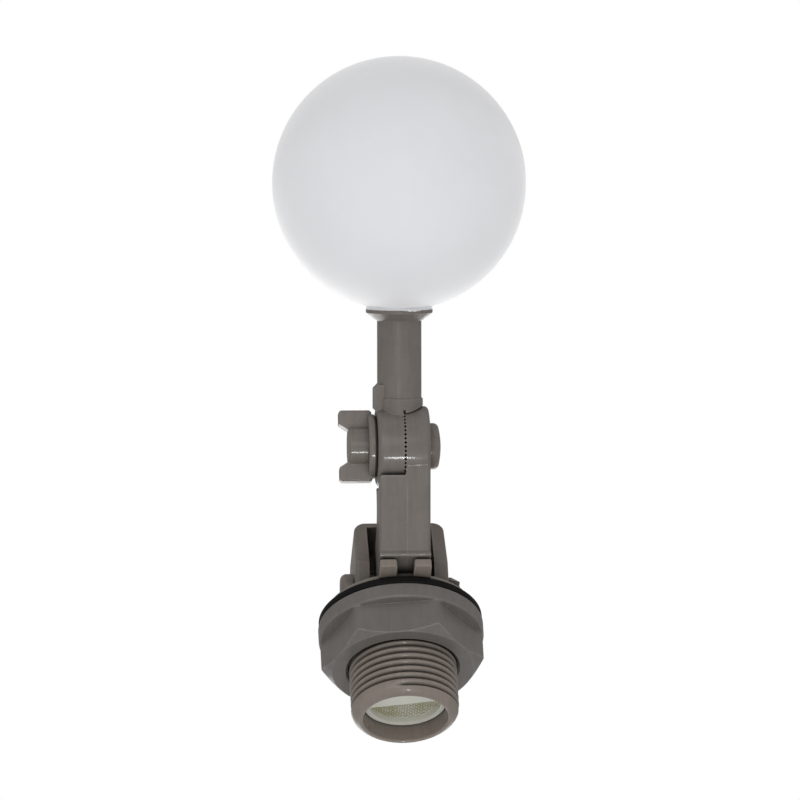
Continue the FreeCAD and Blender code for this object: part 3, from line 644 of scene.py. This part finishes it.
def even_normals(mesh: bpy.types.Mesh, sharp: float) -> None:
    """Shade a mesh smooth, with flat faces left flat beside their rounded edges.

    Args:
        mesh: The mesh to shade.
        sharp: Edges over this angle, in radians, stay sharp.
    """
    shape = bmesh.new()
    shape.from_mesh(mesh)
    shape.faces.ensure_lookup_table()
    region = [-1] * len(shape.faces)
    areas: list[float] = []
    for seed in shape.faces:
        if region[seed.index] >= 0:
            continue
        region[seed.index] = len(areas)
        area, front = 0.0, [seed]
        while front:
            face = front.pop()
            area += face.calc_area()
            for edge in face.edges:
                for other in edge.link_faces:
                    if region[other.index] < 0 and other.normal.dot(seed.normal) > FLAT_DOT:
                        region[other.index] = len(areas)
                        front.append(other)
        areas.append(area)
    normals: list[Vector] = [Vector((0, 0, 1))] * len(mesh.loops)
    for vertex in shape.verts:
        for fan in smooth_fans(vertex, sharp):
            shares: dict[int, list[Any]] = {}
            for loop in fan:
                share = shares.setdefault(region[loop.face.index], [0.0, loop.face.normal])
                share[0] += loop.calc_angle()
            ranked = sorted(shares, key=lambda key: areas[key], reverse=True)
            if len(ranked) == 1 or areas[ranked[0]] > FLAT_SHARE * areas[ranked[1]]:
                normal = shares[ranked[0]][1].copy()
            else:
                normal = sum((turn * way for turn, way in shares.values()), Vector()).normalized()
            for loop in fan:
                normals[loop.index] = normal
    shape.free()
    mesh.polygons.foreach_set("use_smooth", [True] * len(mesh.polygons))
    mesh.normals_split_custom_set(normals)
    mesh.update()


def smooth_fans(vertex: bmesh.types.BMVert, sharp: float) -> list[list[bmesh.types.BMLoop]]:
    """Corners round a vertex, grouped between its sharp edges.

    Args:
        vertex: The vertex.
        sharp: Edges over this angle, in radians, part two groups.

    Returns:
        The groups of face corners.
    """
    waiting = {loop.face: loop for loop in vertex.link_loops}
    fans = []
    while waiting:
        _, loop = waiting.popitem()
        fan, front = [loop], [loop.face]
        while front:
            face = front.pop()
            for edge in face.edges:
                if vertex not in edge.verts or edge.calc_face_angle(math.pi) > sharp:
                    continue
                for other in edge.link_faces:
                    if other in waiting:
                        fan.append(waiting.pop(other))
                        front.append(other)
        fans.append(fan)
    return fans


def finished(
    name: str,
    shape: bmesh.types.BMesh | bpy.types.Mesh,
    ride: Ride,
    slot: Slot,
    finishes: Finishes,
    replaces: Sequence[str] = (),
    sharp_degrees: float = 24.0,
) -> bpy.types.Object:
    """Turn a solid in millimetres into a piece of the model.

    Args:
        name: The piece's name.
        shape: The solid.
        ride: The body that it moves with.
        slot: The material slot.
        finishes: The object's finishes.
        replaces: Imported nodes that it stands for.
        sharp_degrees: Edges over this angle stay sharp.

    Returns:
        The piece, riding on its body.
    """
    if isinstance(shape, bmesh.types.BMesh):
        mesh = bpy.data.meshes.new(name)
        shape.to_mesh(mesh)
        shape.free()
    else:
        mesh = shape
        mesh.name = name
    mesh.transform(Matrix.Diagonal((MM, MM, MM, 1)))
    mesh.materials.clear()
    mesh.materials.append(finishes[slot])
    mesh.polygons.foreach_set("material_index", [0] * len(mesh.polygons))
    even_normals(mesh, math.radians(sharp_degrees))
    piece = bpy.data.objects.new(name, mesh)
    bpy.context.scene.collection.objects.link(piece)
    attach(piece, ride.value)
    if replaces:
        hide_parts(*replaces)
    LOG.info("%s: %d faces", name, len(mesh.polygons))
    return piece


def turned(
    outline: Sequence[Point], axis: Matrix, steps: int = 128, closed: bool = True
) -> bmesh.types.BMesh:
    """Solid of revolution.

    Args:
        outline: (radius, height) points round the section.
        axis: Matrix that takes local Z to the axis.
        steps: Points round the circle.
        closed: Whether the last point joins the first one.

    Returns:
        The solid, its faces outward.
    """
    shape = bmesh.new()
    rings = []
    for radius, height in outline:
        if radius < 1e-6:
            rings.append([shape.verts.new(axis @ Vector((0, 0, height)))])
            continue
        ring = []
        for k in range(steps):
            angle = 2 * math.pi * k / steps
            spot = Vector((radius * math.cos(angle), radius * math.sin(angle), height))
            ring.append(shape.verts.new(axis @ spot))
        rings.append(ring)
    count = len(rings) if closed else len(rings) - 1
    for index in range(count):
        lower, upper = rings[index], rings[(index + 1) % len(rings)]
        if len(lower) == 1 and len(upper) == 1:
            continue
        for k in range(steps):
            after = (k + 1) % steps
            if len(lower) == 1:
                shape.faces.new((lower[0], upper[k], upper[after]))
            elif len(upper) == 1:
                shape.faces.new((lower[k], lower[after], upper[0]))
            else:
                shape.faces.new((lower[k], lower[after], upper[after], upper[k]))
    bmesh.ops.recalc_face_normals(shape, faces=shape.faces)
    return shape


ALONG_Y = Matrix.Rotation(math.radians(-90), 4, "X")


# ---------------------------------------------------------------- geometry nodes


class NodeTree(Nodes):
    """A Geometry Nodes tree with named inputs."""

    def __init__(self, name: str, sizes: dict[str, float | int]) -> None:
        """Start a tree.

        Args:
            name: The tree's name.
            sizes: Input name to its value, a float or a whole number.
        """
        super().__init__(bpy.data.node_groups.new(name, "GeometryNodeTree"))
        self.values = sizes
        face = self.tree.interface
        face.new_socket("Geometry", in_out="OUTPUT", socket_type="NodeSocketGeometry")
        for key, value in sizes.items():
            kind = "NodeSocketInt" if isinstance(value, int) else "NodeSocketFloat"
            face.new_socket(key, in_out="INPUT", socket_type=kind)
        self.entry = self.tree.nodes.new("NodeGroupInput")

    def size(self, name: str) -> bpy.types.NodeSocket:
        """Output socket of a named input."""
        return self.entry.outputs[name]

    def math(self, operation: str, *terms: Any) -> bpy.types.NodeSocket:
        """Result of a math node on one to three terms."""
        return self.add("ShaderNodeMath", dict(enumerate(terms)), operation=operation).outputs[0]

    def smooth_step(self, value: bpy.types.NodeSocket, low: Any, high: Any) -> bpy.types.NodeSocket:
        """Value eased from 0 at one limit to 1 at the other."""
        inputs = {0: value, 1: low, 2: high}
        return self.add("ShaderNodeMapRange", inputs, interpolation_type="SMOOTHSTEP").outputs[0]

    def vector(self, x: Any = 0.0, y: Any = 0.0, z: Any = 0.0) -> bpy.types.NodeSocket:
        """Vector from three values or sockets."""
        return self.add("ShaderNodeCombineXYZ", {0: x, 1: y, 2: z}).outputs[0]

    def made(self, geometry: bpy.types.NodeSocket, material: bpy.types.Material) -> bpy.types.Mesh:
        """Close the tree, run it and return its mesh.

        Args:
            geometry: The last geometry socket.
            material: The material of every face.

        Returns:
            A plain mesh in the tree's own units.
        """
        real = self.add("GeometryNodeRealizeInstances", {0: geometry}).outputs[0]
        painted = self.add("GeometryNodeSetMaterial", {"Geometry": real, "Material": material})
        leave = self.tree.nodes.new("NodeGroupOutput")
        self.tree.links.new(painted.outputs[0], leave.inputs[0])
        holder = bpy.data.objects.new(self.tree.name, bpy.data.meshes.new(self.tree.name))
        bpy.context.scene.collection.objects.link(holder)
        modifier = holder.modifiers.new("nodes", "NODES")
        modifier.node_group = self.tree
        for item in self.tree.interface.items_tree:
            if item.item_type == "SOCKET" and item.in_out == "INPUT":
                modifier[item.identifier] = self.values[item.name]
        return settled(holder)


@dataclass
class InletThread:
    """Moulded pipe thread and open end of the spigot, as one hollow sleeve.

    The sleeve is built along local Z from the mouth, and its groove starts at
    local X. The groove takes groove_share of the pitch, opens over run_in turns
    and fades between the two run_out distances from the end.
    """

    crest_radius: float = 13.0
    bore_radius: float = 10.2
    inner_radius: float = 11.4
    mouth_y: float = -28.3
    mouth_rounding: float = 3.0
    mouth_radius: float = 10.9
    bore_chamfer: float = 0.2
    seam_y: float = -23.0
    start_y: float = -26.2
    end_y: float = -0.02
    pitch: float = 1.814
    depth: float = 1.1
    groove_share: float = 0.86
    groove_power: float = 1.7
    run_in: float = 0.04
    run_out: Point = (0.2, 1.0)
    start_degrees: float = 74.0
    join_mm: float = 0.0008
    steps: int = 160
    arc_steps: int = 10
    rows_per_turn: int = 18

    def shoulder(self) -> Point:
        """Find the centre of the mouth's rounding.

        Returns:
            Its radius and its height.
        """
        radius = self.crest_radius - self.mouth_rounding
        reach = math.sqrt(self.mouth_rounding**2 - (self.mouth_radius - radius) ** 2)
        return radius, self.mouth_y + reach

    def skin(self, material: bpy.types.Material) -> bmesh.types.BMesh:
        """Open tube with the helical groove sunk into it.

        The rows of the tube follow the helix and are gathered onto a flat ring
        at each end.

        Args:
            material: The spigot's material.

        Returns:
            The tube in millimetres, standing on the local XY plane.
        """
        band_y = self.start_y - self.pitch / 2
        length = self.end_y - band_y
        turns = math.ceil(length / self.pitch) + 1
        tree = NodeTree(
            "inlet_thread",
            {
                "Crest radius": self.crest_radius,
                "Depth": self.depth,
                "Pitch": self.pitch,
                "Length": length,
                "Turns": turns,
                "Rows per turn": self.rows_per_turn,
                "Steps": self.steps,
                "Groove share": self.groove_share,
                "Groove power": self.groove_power,
                "Run-in": self.run_in,
                "Rounding": self.mouth_rounding,
                "Shoulder": self.shoulder()[1] - band_y,
            },
        )
        rows = tree.math("MULTIPLY", tree.size("Turns"), tree.size("Rows per turn"))
        grid = tree.add(
            "GeometryNodeMeshGrid",
            {
                "Size X": 1.0,
                "Size Y": tree.size("Turns"),
                "Vertices X": tree.math("ADD", tree.size("Steps"), 1),
                "Vertices Y": tree.math("ADD", rows, 1),
            },
        ).outputs[0]
        spot = tree.add("ShaderNodeSeparateXYZ", {0: tree.add("GeometryNodeInputPosition").outputs[0]})
        around = tree.math("ADD", spot.outputs[0], 0.5)
        row = tree.math("ADD", spot.outputs[1], tree.math("MULTIPLY", tree.size("Turns"), 0.5))
        climb = tree.math("SUBTRACT", tree.math("ADD", row, around), 1)
        height = tree.math("MULTIPLY", climb, tree.size("Pitch"))
        phase = tree.math("SUBTRACT", row, 1.5)
        nearest = tree.math("ROUND", phase)
        travelled = tree.math("ADD", nearest, around)
        away = tree.math("MULTIPLY", tree.math("ABSOLUTE", tree.math("SUBTRACT", phase, nearest)), 2)
        sunk = tree.math("SUBTRACT", 1, tree.math("DIVIDE", away, tree.size("Groove share")))
        sunk = tree.math("POWER", tree.math("MAXIMUM", sunk, 0), tree.size("Groove power"))
        sunk = tree.math("MULTIPLY", sunk, tree.size("Depth"))
        sunk = tree.math("MULTIPLY", sunk, tree.smooth_step(travelled, 0.0, tree.size("Run-in")))
        left = tree.math("SUBTRACT", tree.size("Length"), height)
        sunk = tree.math("MULTIPLY", sunk, tree.smooth_step(left, *self.run_out))
        level = tree.math("MINIMUM", tree.math("MAXIMUM", height, 0), tree.size("Length"))
        below = tree.math("MAXIMUM", tree.math("SUBTRACT", tree.size("Shoulder"), level), 0)
        rounding = tree.size("Rounding")
        bulge = tree.math("SUBTRACT", tree.math("POWER", rounding, 2), tree.math("POWER", below, 2))
        drawn_in = tree.math("SUBTRACT", rounding, tree.math("SQRT", bulge))
        radius = tree.math("SUBTRACT", tree.size("Crest radius"), tree.math("ADD", sunk, drawn_in))
        angle = tree.math("MULTIPLY", around, 2 * math.pi)
        place = tree.vector(
            tree.math("MULTIPLY", radius, tree.math("COSINE", angle)),
            tree.math("MULTIPLY", radius, tree.math("SINE", angle)),
            level,
        )
        tube = tree.add("GeometryNodeSetPosition", {"Geometry": grid, "Position": place}).outputs[0]
        shape = bmesh.new()
        shape.from_mesh(tree.made(tube, material))
        bmesh.ops.translate(shape, vec=(0, 0, band_y), verts=shape.verts)
        return shape

    def end(self) -> bmesh.types.BMesh:
        """Plain band, rounded mouth, bore and inside wall, open where the skin joins.

        Returns:
            The surface in millimetres along local Z.
        """
        shoulder, shoulder_y = self.shoulder()
        band_y = self.start_y - self.pitch / 2
        first = math.asin((self.mouth_radius - shoulder) / self.mouth_rounding)
        last = math.acos((shoulder_y - band_y) / self.mouth_rounding)
        outline = [
            (self.crest_radius, self.end_y),
            (self.inner_radius, self.end_y),
            (self.inner_radius, self.seam_y),
            (self.bore_radius, self.seam_y),
            (self.bore_radius, self.mouth_y + self.bore_chamfer),
            (self.bore_radius + self.bore_chamfer, self.mouth_y),
        ]
        for k in range(self.arc_steps + 1):
            angle = first + (last - first) * k / self.arc_steps
            outline.append(
                (
                    shoulder + self.mouth_rounding * math.sin(angle),
                    shoulder_y - self.mouth_rounding * math.cos(angle),
                )
            )
        return turned(outline, Matrix.Identity(4), self.steps, closed=False)

    def sleeve(self, material: bpy.types.Material) -> bmesh.types.BMesh:
        """Closed sleeve in its place on the body.

        Args:
            material: The spigot's material.

        Returns:
            The solid in millimetres.
        """
        shape = self.skin(material)
        rest = bpy.data.meshes.new("rest")
        end = self.end()
        end.to_mesh(rest)
        end.free()
        shape.from_mesh(rest)
        bmesh.ops.remove_doubles(shape, verts=shape.verts, dist=self.join_mm)
        bmesh.ops.dissolve_degenerate(shape, dist=self.join_mm, edges=shape.edges)
        turn = Matrix.Rotation(math.radians(self.start_degrees), 4, "Z")
        bmesh.ops.transform(shape, matrix=ALONG_Y @ turn, verts=shape.verts)
        bmesh.ops.recalc_face_normals(shape, faces=shape.faces)
        return shape


@dataclass
class Inlet:
    """Body moulding with its thread, gasket, lock nut and strainer.

    The body's spigot is cut off to cut_radius and the sleeve with the real
    thread is joined on, overlapping by the weld.
    """

    thread: InletThread = field(default_factory=InletThread)
    cut_radius: float = 14.0
    weld: float = 0.05
    screen_radius: float = 9.1
    screen_y: float = -22.35
    wire_pitch: float = 0.62
    wire_radius: float = 0.13
    wire_points: int = 90
    wire_sides: int = 5

    def body(self, finishes: Finishes) -> None:
        """Body moulding with a real helical thread on its spigot.

        Args:
            finishes: The object's finishes.
        """
        thread = self.thread
        cut = turned(
            [
                (0.0, thread.mouth_y - 1),
                (self.cut_radius, thread.mouth_y - 1),
                (self.cut_radius, thread.end_y),
                (thread.inner_radius + self.weld, thread.end_y),
                (thread.inner_radius + self.weld, thread.seam_y - self.weld),
                (0.0, thread.seam_y - self.weld),
            ],
            ALONG_Y,
            steps=thread.steps,
        )
        sleeve = thread.sleeve(finishes[Slot.BODY])
        shape = combined(cad_copy("valve_body"), [("DIFFERENCE", cut), ("UNION", sleeve)])
        finished("body_moulding", shape, Ride.BODY, Slot.BODY, finishes, ["valve_body"])

    def screen(self, finishes: Finishes) -> None:
        """Woven gauze behind the strainer's rib.

        Args:
            finishes: The object's finishes.
        """
        tree = NodeTree(
            "strainer_gauze",
            {
                "Radius": self.screen_radius,
                "Wire pitch": self.wire_pitch,
                "Wire radius": self.wire_radius,
                "Wires": int(2 * self.screen_radius / self.wire_pitch) | 1,
                "Points": self.wire_points,
                "Sides": self.wire_sides,
            },
        )
        weaves = [self.wire_set(tree, turn) for turn in (0.0, 90.0)]
        joined = tree.add("GeometryNodeJoinGeometry")
        for weave in weaves:
            tree.tree.links.new(weave, joined.inputs[0])
        shape = bmesh.new()
        shape.from_mesh(tree.made(joined.outputs[0], finishes[Slot.SCREEN]))
        place = Matrix.Translation((0, self.screen_y, 0)) @ ALONG_Y
        bmesh.ops.transform(shape, matrix=place, verts=shape.verts)
        bmesh.ops.recalc_face_normals(shape, faces=shape.faces)
        finished("strainer_gauze", shape, Ride.BODY, Slot.SCREEN, finishes, ["strainer_mesh"])

    def wire_set(self, tree: NodeTree, turn: float) -> bpy.types.NodeSocket:
        """One direction's wires of the gauze, clipped to the disc.

        Args:
            tree: The tree to build in.
            turn: Direction of the wires in degrees.

        Returns:
            The wires as a geometry socket.
        """
        radius = tree.size("Radius")
        pitch = tree.size("Wire pitch")
        count = tree.size("Wires")
        reach = tree.math("MULTIPLY", tree.math("SUBTRACT", count, 1), pitch)
        start = tree.math("MULTIPLY", reach, -0.5)
        rows = tree.add(
            "GeometryNodeMeshLine",
            {
                "Count": count,
                "Start Location": tree.vector(y=start),
                "Offset": tree.vector(y=pitch),
            },
        ).outputs[0]
        wire = tree.add(
            "GeometryNodeCurvePrimitiveLine", {"Start": tree.vector(x=-1.0), "End": tree.vector(x=1.0)}
        ).outputs[0]
        wire = tree.add(
            "GeometryNodeResampleCurve", {"Curve": wire, "Count": tree.size("Points")}
        ).outputs[0]
        place = tree.add("GeometryNodeInputPosition").outputs[0]
        row = tree.add("ShaderNodeSeparateXYZ", {0: place}).outputs[1]
        span = tree.math("SUBTRACT", tree.math("MULTIPLY", radius, radius), tree.math("MULTIPLY", row, row))
        half = tree.math("SQRT", tree.math("MAXIMUM", span, 0.01))
        wires = tree.add(
            "GeometryNodeInstanceOnPoints",
            {"Points": rows, "Instance": wire, "Scale": tree.vector(half, 1.0, 1.0)},
        ).outputs[0]
        wires = tree.add("GeometryNodeRealizeInstances", {0: wires}).outputs[0]
        spot = tree.add("ShaderNodeSeparateXYZ", {0: tree.add("GeometryNodeInputPosition").outputs[0]})
        phase = tree.math("MULTIPLY", tree.math("DIVIDE", spot.outputs[0], pitch), math.pi)
        index = tree.math("DIVIDE", tree.math("SUBTRACT", spot.outputs[1], start), pitch)
        flip = tree.math("MULTIPLY", tree.math("ROUND", index), math.pi)
        sign = 1.0 if turn == 0.0 else -1.0
        lift = tree.math("MULTIPLY", tree.math("COSINE", tree.math("ADD", phase, flip)), sign)
        lift = tree.math("MULTIPLY", lift, tree.size("Wire radius"))
        wires = tree.add(
            "GeometryNodeSetPosition", {"Geometry": wires, "Offset": tree.vector(z=lift)}
        ).outputs[0]
        ring = tree.add(
            "GeometryNodeCurvePrimitiveCircle",
            {"Resolution": tree.size("Sides"), "Radius": tree.size("Wire radius")},
        ).outputs[0]
        solid = tree.add(
            "GeometryNodeCurveToMesh", {"Curve": wires, "Profile Curve": ring, "Fill Caps": True}
        ).outputs[0]
        return tree.add(
            "GeometryNodeTransform", {"Geometry": solid, "Rotation": (0, 0, math.radians(turn))}
        ).outputs[0]

    def build(self, finishes: Finishes) -> None:
        """Build the inlet's pieces.

        Args:
            finishes: The object's finishes.
        """
        self.body(finishes)
        self.screen(finishes)
        dressed("gasket_ring", "flange_gasket", Ride.BODY, Slot.RUBBER, finishes)
        dressed("lock_nut_moulding", "lock_nut", Ride.NUT, Slot.NUT, finishes)
        dressed("strainer_ring", "inlet_strainer", Ride.BODY, Slot.STRAINER, finishes)


def dressed(name: str, node: str, ride: Ride, slot: Slot, finishes: Finishes) -> None:
    """Smooth-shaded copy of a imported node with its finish.

    Args:
        name: The piece's name.
        node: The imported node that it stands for.
        ride: The body that it moves with.
        slot: The material slot.
        finishes: The object's finishes.
    """
    finished(name, cad_copy(node), ride, slot, finishes, [node])


@dataclass
class ValveWorks:
    """Nozzle, ring seal, plunger and its pad inside the spigot, and the pivot pin."""

    def build(self, finishes: Finishes) -> None:
        """Build the pieces inside the body.

        Args:
            finishes: The object's finishes.
        """
        dressed("nozzle", "orifice_nozzle", Ride.BODY, Slot.NOZZLE, finishes)
        dressed("nozzle_ring", "nozzle_o_ring", Ride.BODY, Slot.RUBBER, finishes)
        dressed("plunger_moulding", "plunger", Ride.VALVE, Slot.NOZZLE, finishes)
        dressed("plunger_pad", "plunger_seal", Ride.VALVE, Slot.RUBBER, finishes)
        dressed("pivot_pin", "lever_pin", Ride.BODY, Slot.PIN, finishes)


@dataclass
class LeverAndClamp:
    """Lever, clamp bolt and wing nut."""

    def build(self, finishes: Finishes) -> None:
        """Build the lever's pieces.

        Args:
            finishes: The object's finishes.
        """
        dressed("lever_moulding", "lever", Ride.LEVER, Slot.ARM, finishes)
        dressed("clamp_bolt_moulding", "clamp_bolt", Ride.LEVER, Slot.PIN, finishes)
        dressed("wing_nut_moulding", "wing_nut", Ride.WING, Slot.PIN, finishes)


@dataclass
class FloatArm:
    """Upper arm and ball float, with the float's gate mark and a bead of flash.

    The arm's own frame has its origin on the clamp axis and Z along the stem.
    """

    clamp_joint: str = "arm_clamp"
    pitch: float = -126.7
    stem_x: float = 0.8
    float_radius: float = 30.5
    float_reach: float = 63.35
    gate_radius: float = 1.1
    gate_depth: float = 0.13
    gate_direction: tuple[float, float, float] = (9.1, 15.1, -24.9)
    bead_reach: float = 33.15
    bead_radius: float = 8.05
    bead_thickness: float = 0.3
    bead_span: Point = (92.0, 127.0)
    bead_taper: float = 0.2
    bead_ripple: float = 0.25
    bead_waves: float = 23.0
    bead_steps: int = 24
    gate_steps: int = 40
    section_sides: int = 8

    def frame(self) -> Matrix:
        """Place of the stem's own frame on the object.

        Returns:
            The matrix from the stem's frame to the object's.
        """
        turn = Matrix.Rotation(math.radians(self.pitch), 4, "X")
        clamp = Matrix.Translation(joint_place(self.clamp_joint))
        return clamp @ turn @ Matrix.Translation((self.stem_x, 0, 0))

    def gate(self) -> bmesh.types.BMesh:
        """Fine ring that cuts the gate mark into the float.

        Returns:
            The ring as a solid.
        """
        centre = self.frame() @ Vector((0, 0, self.float_reach))
        outward = Vector(self.gate_direction).normalized()
        turn = outward.to_track_quat("Z", "Y").to_matrix().to_4x4()
        place = Matrix.Translation(centre + outward * self.float_radius) @ turn
        section = []
        for k in range(self.section_sides):
            angle = 2 * math.pi * k / self.section_sides
            reach = self.gate_radius + self.gate_depth * math.cos(angle)
            section.append((reach, self.gate_depth * math.sin(angle)))
        return turned(section, place, steps=self.gate_steps)

    def bead(self) -> bmesh.types.BMesh:
        """Bead of flash on the float's collar, thin at both ends.

        Returns:
            The bead as a solid.
        """
        shape = bmesh.new()
        count, sides = self.bead_steps, self.section_sides
        first, last = (math.radians(value) for value in self.bead_span)
        rings = []
        for k in range(count + 1):
            share = k / count
            angle = first + (last - first) * share
            swell = self.bead_taper + (1 - self.bead_taper) * math.sin(math.pi * share)
            ripple = 1 + self.bead_ripple * math.sin(self.bead_waves * share)
            thick = self.bead_thickness * swell * ripple
            ring = []
            for j in range(sides):
                turn = 2 * math.pi * j / sides
                reach = self.bead_radius + thick * math.cos(turn)
                height = self.bead_reach + thick * math.sin(turn)
                ring.append(shape.verts.new((reach * math.cos(angle), reach * math.sin(angle), height)))
            rings.append(ring)
        for lower, upper in zip(rings, rings[1:]):
            for j in range(sides):
                after = (j + 1) % sides
                shape.faces.new((lower[j], lower[after], upper[after], upper[j]))
        shape.faces.new(rings[0])
        shape.faces.new(rings[-1])
        bmesh.ops.transform(shape, matrix=self.frame(), verts=shape.verts)
        bmesh.ops.recalc_face_normals(shape, faces=shape.faces)
        return shape

    def build(self, finishes: Finishes) -> None:
        """Build the float's pieces.

        Args:
            finishes: The object's finishes.
        """
        dressed("upper_arm_moulding", "upper_arm", Ride.FLOAT, Slot.ARM, finishes)
        ball = combined(cad_copy("float_ball"), [("UNION", self.bead()), ("DIFFERENCE", self.gate())])
        finished("ball_float", ball, Ride.FLOAT, Slot.FLOAT, finishes, ["float_ball"])


# ---------------------------------------------------------------- stage


@dataclass
class Studio:
    """Camera, lamps, floor and white surround.

    Angles are in degrees, aim is the point in the middle of the view and
    view_width what the view spans there. The floor lies float_drop below the
    object, so that the float's lowest setting clears it.
    """

    elevation: float = -56.8
    yaw: float = -4.4
    roll: float = -0.35
    aim: tuple[float, float, float] = (0.7, 37.1, -39.8)
    distance: float = 3000.0
    view_width: float = 192.0768
    sensor_mm: float = 36.0
    float_drop: float = 22.0
    floor_side: float = 6000.0
    surround_level: float = 0.73
    glossy_share: float = 0.4

    def eye(self) -> tuple[Vector, Vector]:
        """Work out how the camera stands.

        Returns:
            The direction to the camera and the view's up direction.
        """
        lift = math.radians(self.elevation)
        back = Vector((0, -math.cos(lift), math.sin(lift)))
        up = Vector((0, -math.sin(lift), -math.cos(lift)))
        back.rotate(Matrix.Rotation(math.radians(self.yaw), 3, up))
        return back, up

    def camera(self) -> None:
        """Long-lens camera below and in front of the valve."""
        back, up = self.eye()
        right = up.cross(back)
        up.rotate(Matrix.Rotation(math.radians(self.roll), 3, back))
        right = up.cross(back)
        data = bpy.data.cameras.new("view")
        data.sensor_width = self.sensor_mm
        data.lens = self.distance * self.sensor_mm / self.view_width
        data.clip_start = 0.01
        data.clip_end = 20.0
        camera = bpy.data.objects.new("view", data)
        turn = Matrix((right, up, back)).transposed().to_4x4()
        place = (Vector(self.aim) + back * self.distance) * MM
        camera.matrix_world = Matrix.Translation(place) @ turn
        bpy.context.scene.collection.objects.link(camera)
        bpy.context.scene.camera = camera

    def lamp(self, name: str, direction: Vector, distance: float, size: float, watts: float) -> None:
        """Soft square lamp aimed at the object.

        Args:
            name: The lamp's name.
            direction: From the object to the lamp.
            distance: In millimetres.
            size: Side of the square in millimetres.
            watts: Its power.
        """
        data = bpy.data.lights.new(name, "AREA")
        data.size = size * MM
        data.energy = watts
        made = bpy.data.objects.new(name, data)
        away = direction.normalized()
        place = (Vector(self.aim) + away * distance) * MM
        made.matrix_world = Matrix.Translation(place) @ away.to_track_quat("Z", "Y").to_matrix().to_4x4()
        bpy.context.scene.collection.objects.link(made)

    def lamps(self) -> None:
        """Small key lamp low in front, a soft one before the valve and one above."""
        back, up = self.eye()
        right = up.cross(back)
        glint = back * 0.84 - up * 0.54
        glint.x = -glint.x
        self.lamp("key", glint, distance=750, size=45, watts=0.9)
        self.lamp("front", back - right * 0.16 + up * 0.28, distance=900, size=600, watts=1.8)
        self.lamp("top", Vector((0.0, 0.05, 1.0)), distance=900, size=650, watts=3.6)

    def floor(self) -> None:
        """Pale floor below the float's lowest setting, clear from underneath."""
        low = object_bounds()[0].z - self.float_drop * MM
        half = self.floor_side / 2 * MM
        mesh = bpy.data.meshes.new("floor")
        square = [(-half, -half, low), (half, -half, low), (half, half, low), (-half, half, low)]
        mesh.from_pydata(square, [], [(0, 1, 2, 3)])
        graph = Graph("floor_pale")
        cloud = graph.ranged(graph.noise(graph.place(), 400.0), 0.3, 0.7, (0, 1))
        colour = graph.mixed(cloud, (0.86, 0.86, 0.86), (0.88, 0.88, 0.88))
        pale = graph.add("BsdfPrincipled", {"Base Color": colour, "Roughness": 0.9})
        clear = graph.add("BsdfTransparent")
        seen = graph.add("LightPath").outputs["Is Camera Ray"]
        behind = graph.add("NewGeometry").outputs["Backfacing"]
        front = graph.math("SUBTRACT", seen, behind, use_clamp=True)
        mix = graph.add("MixShader", {0: front, 1: clear.outputs[0], 2: pale.outputs[0]})
        mesh.materials.append(graph.close(mix.outputs[0]))
        floor = bpy.data.objects.new("floor", mesh)
        bpy.context.scene.collection.objects.link(floor)
        floor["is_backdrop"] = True

    def world(self) -> None:
        """White surround for the camera, softer for everything else."""
        world = bpy.data.worlds.new("surround")
        world.use_nodes = True
        sky = ShaderNodes(world.node_tree)
        path = sky.add("LightPath").outputs
        seen = sky.math("MAXIMUM", path["Is Camera Ray"], path["Is Transmission Ray"])
        level = sky.ranged(seen, 0.0, 1.0, (self.surround_level, 1.0))
        dimmed = sky.ranged(path["Is Glossy Ray"], 0.0, 1.0, (1.0, self.glossy_share))
        strength = sky.math("MULTIPLY", level, dimmed)
        surround = sky.add("Background", {"Strength": strength, "Color": (1, 1, 1, 1)})
        sky.add("OutputWorld", {"Surface": surround.outputs[0]})
        bpy.context.scene.world = world

    def build(self) -> None:
        """Set the stage."""
        self.camera()
        self.lamps()
        self.floor()
        self.world()
        bpy.context.scene.view_settings.view_transform = "Standard"


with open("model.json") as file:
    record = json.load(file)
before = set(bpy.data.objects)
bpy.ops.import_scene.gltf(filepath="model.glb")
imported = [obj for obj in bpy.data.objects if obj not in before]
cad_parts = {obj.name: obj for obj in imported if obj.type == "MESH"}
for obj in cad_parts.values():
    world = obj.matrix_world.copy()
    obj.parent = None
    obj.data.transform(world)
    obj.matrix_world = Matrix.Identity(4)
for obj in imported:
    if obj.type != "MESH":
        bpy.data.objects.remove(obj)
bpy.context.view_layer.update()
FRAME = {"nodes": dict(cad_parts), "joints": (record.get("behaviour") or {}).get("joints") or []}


def main() -> None:
    """Build every sub-assembly and the stage."""
    finishes = Finishes()
    for part in (Inlet(), ValveWorks(), LeverAndClamp(), FloatArm()):
        part.build(finishes)
        LOG.info("%s done", type(part).__name__)
    Studio().build()


if __name__ == "__main__":
    logging.basicConfig(level=logging.INFO, format="%(name)s: %(message)s")
    main()
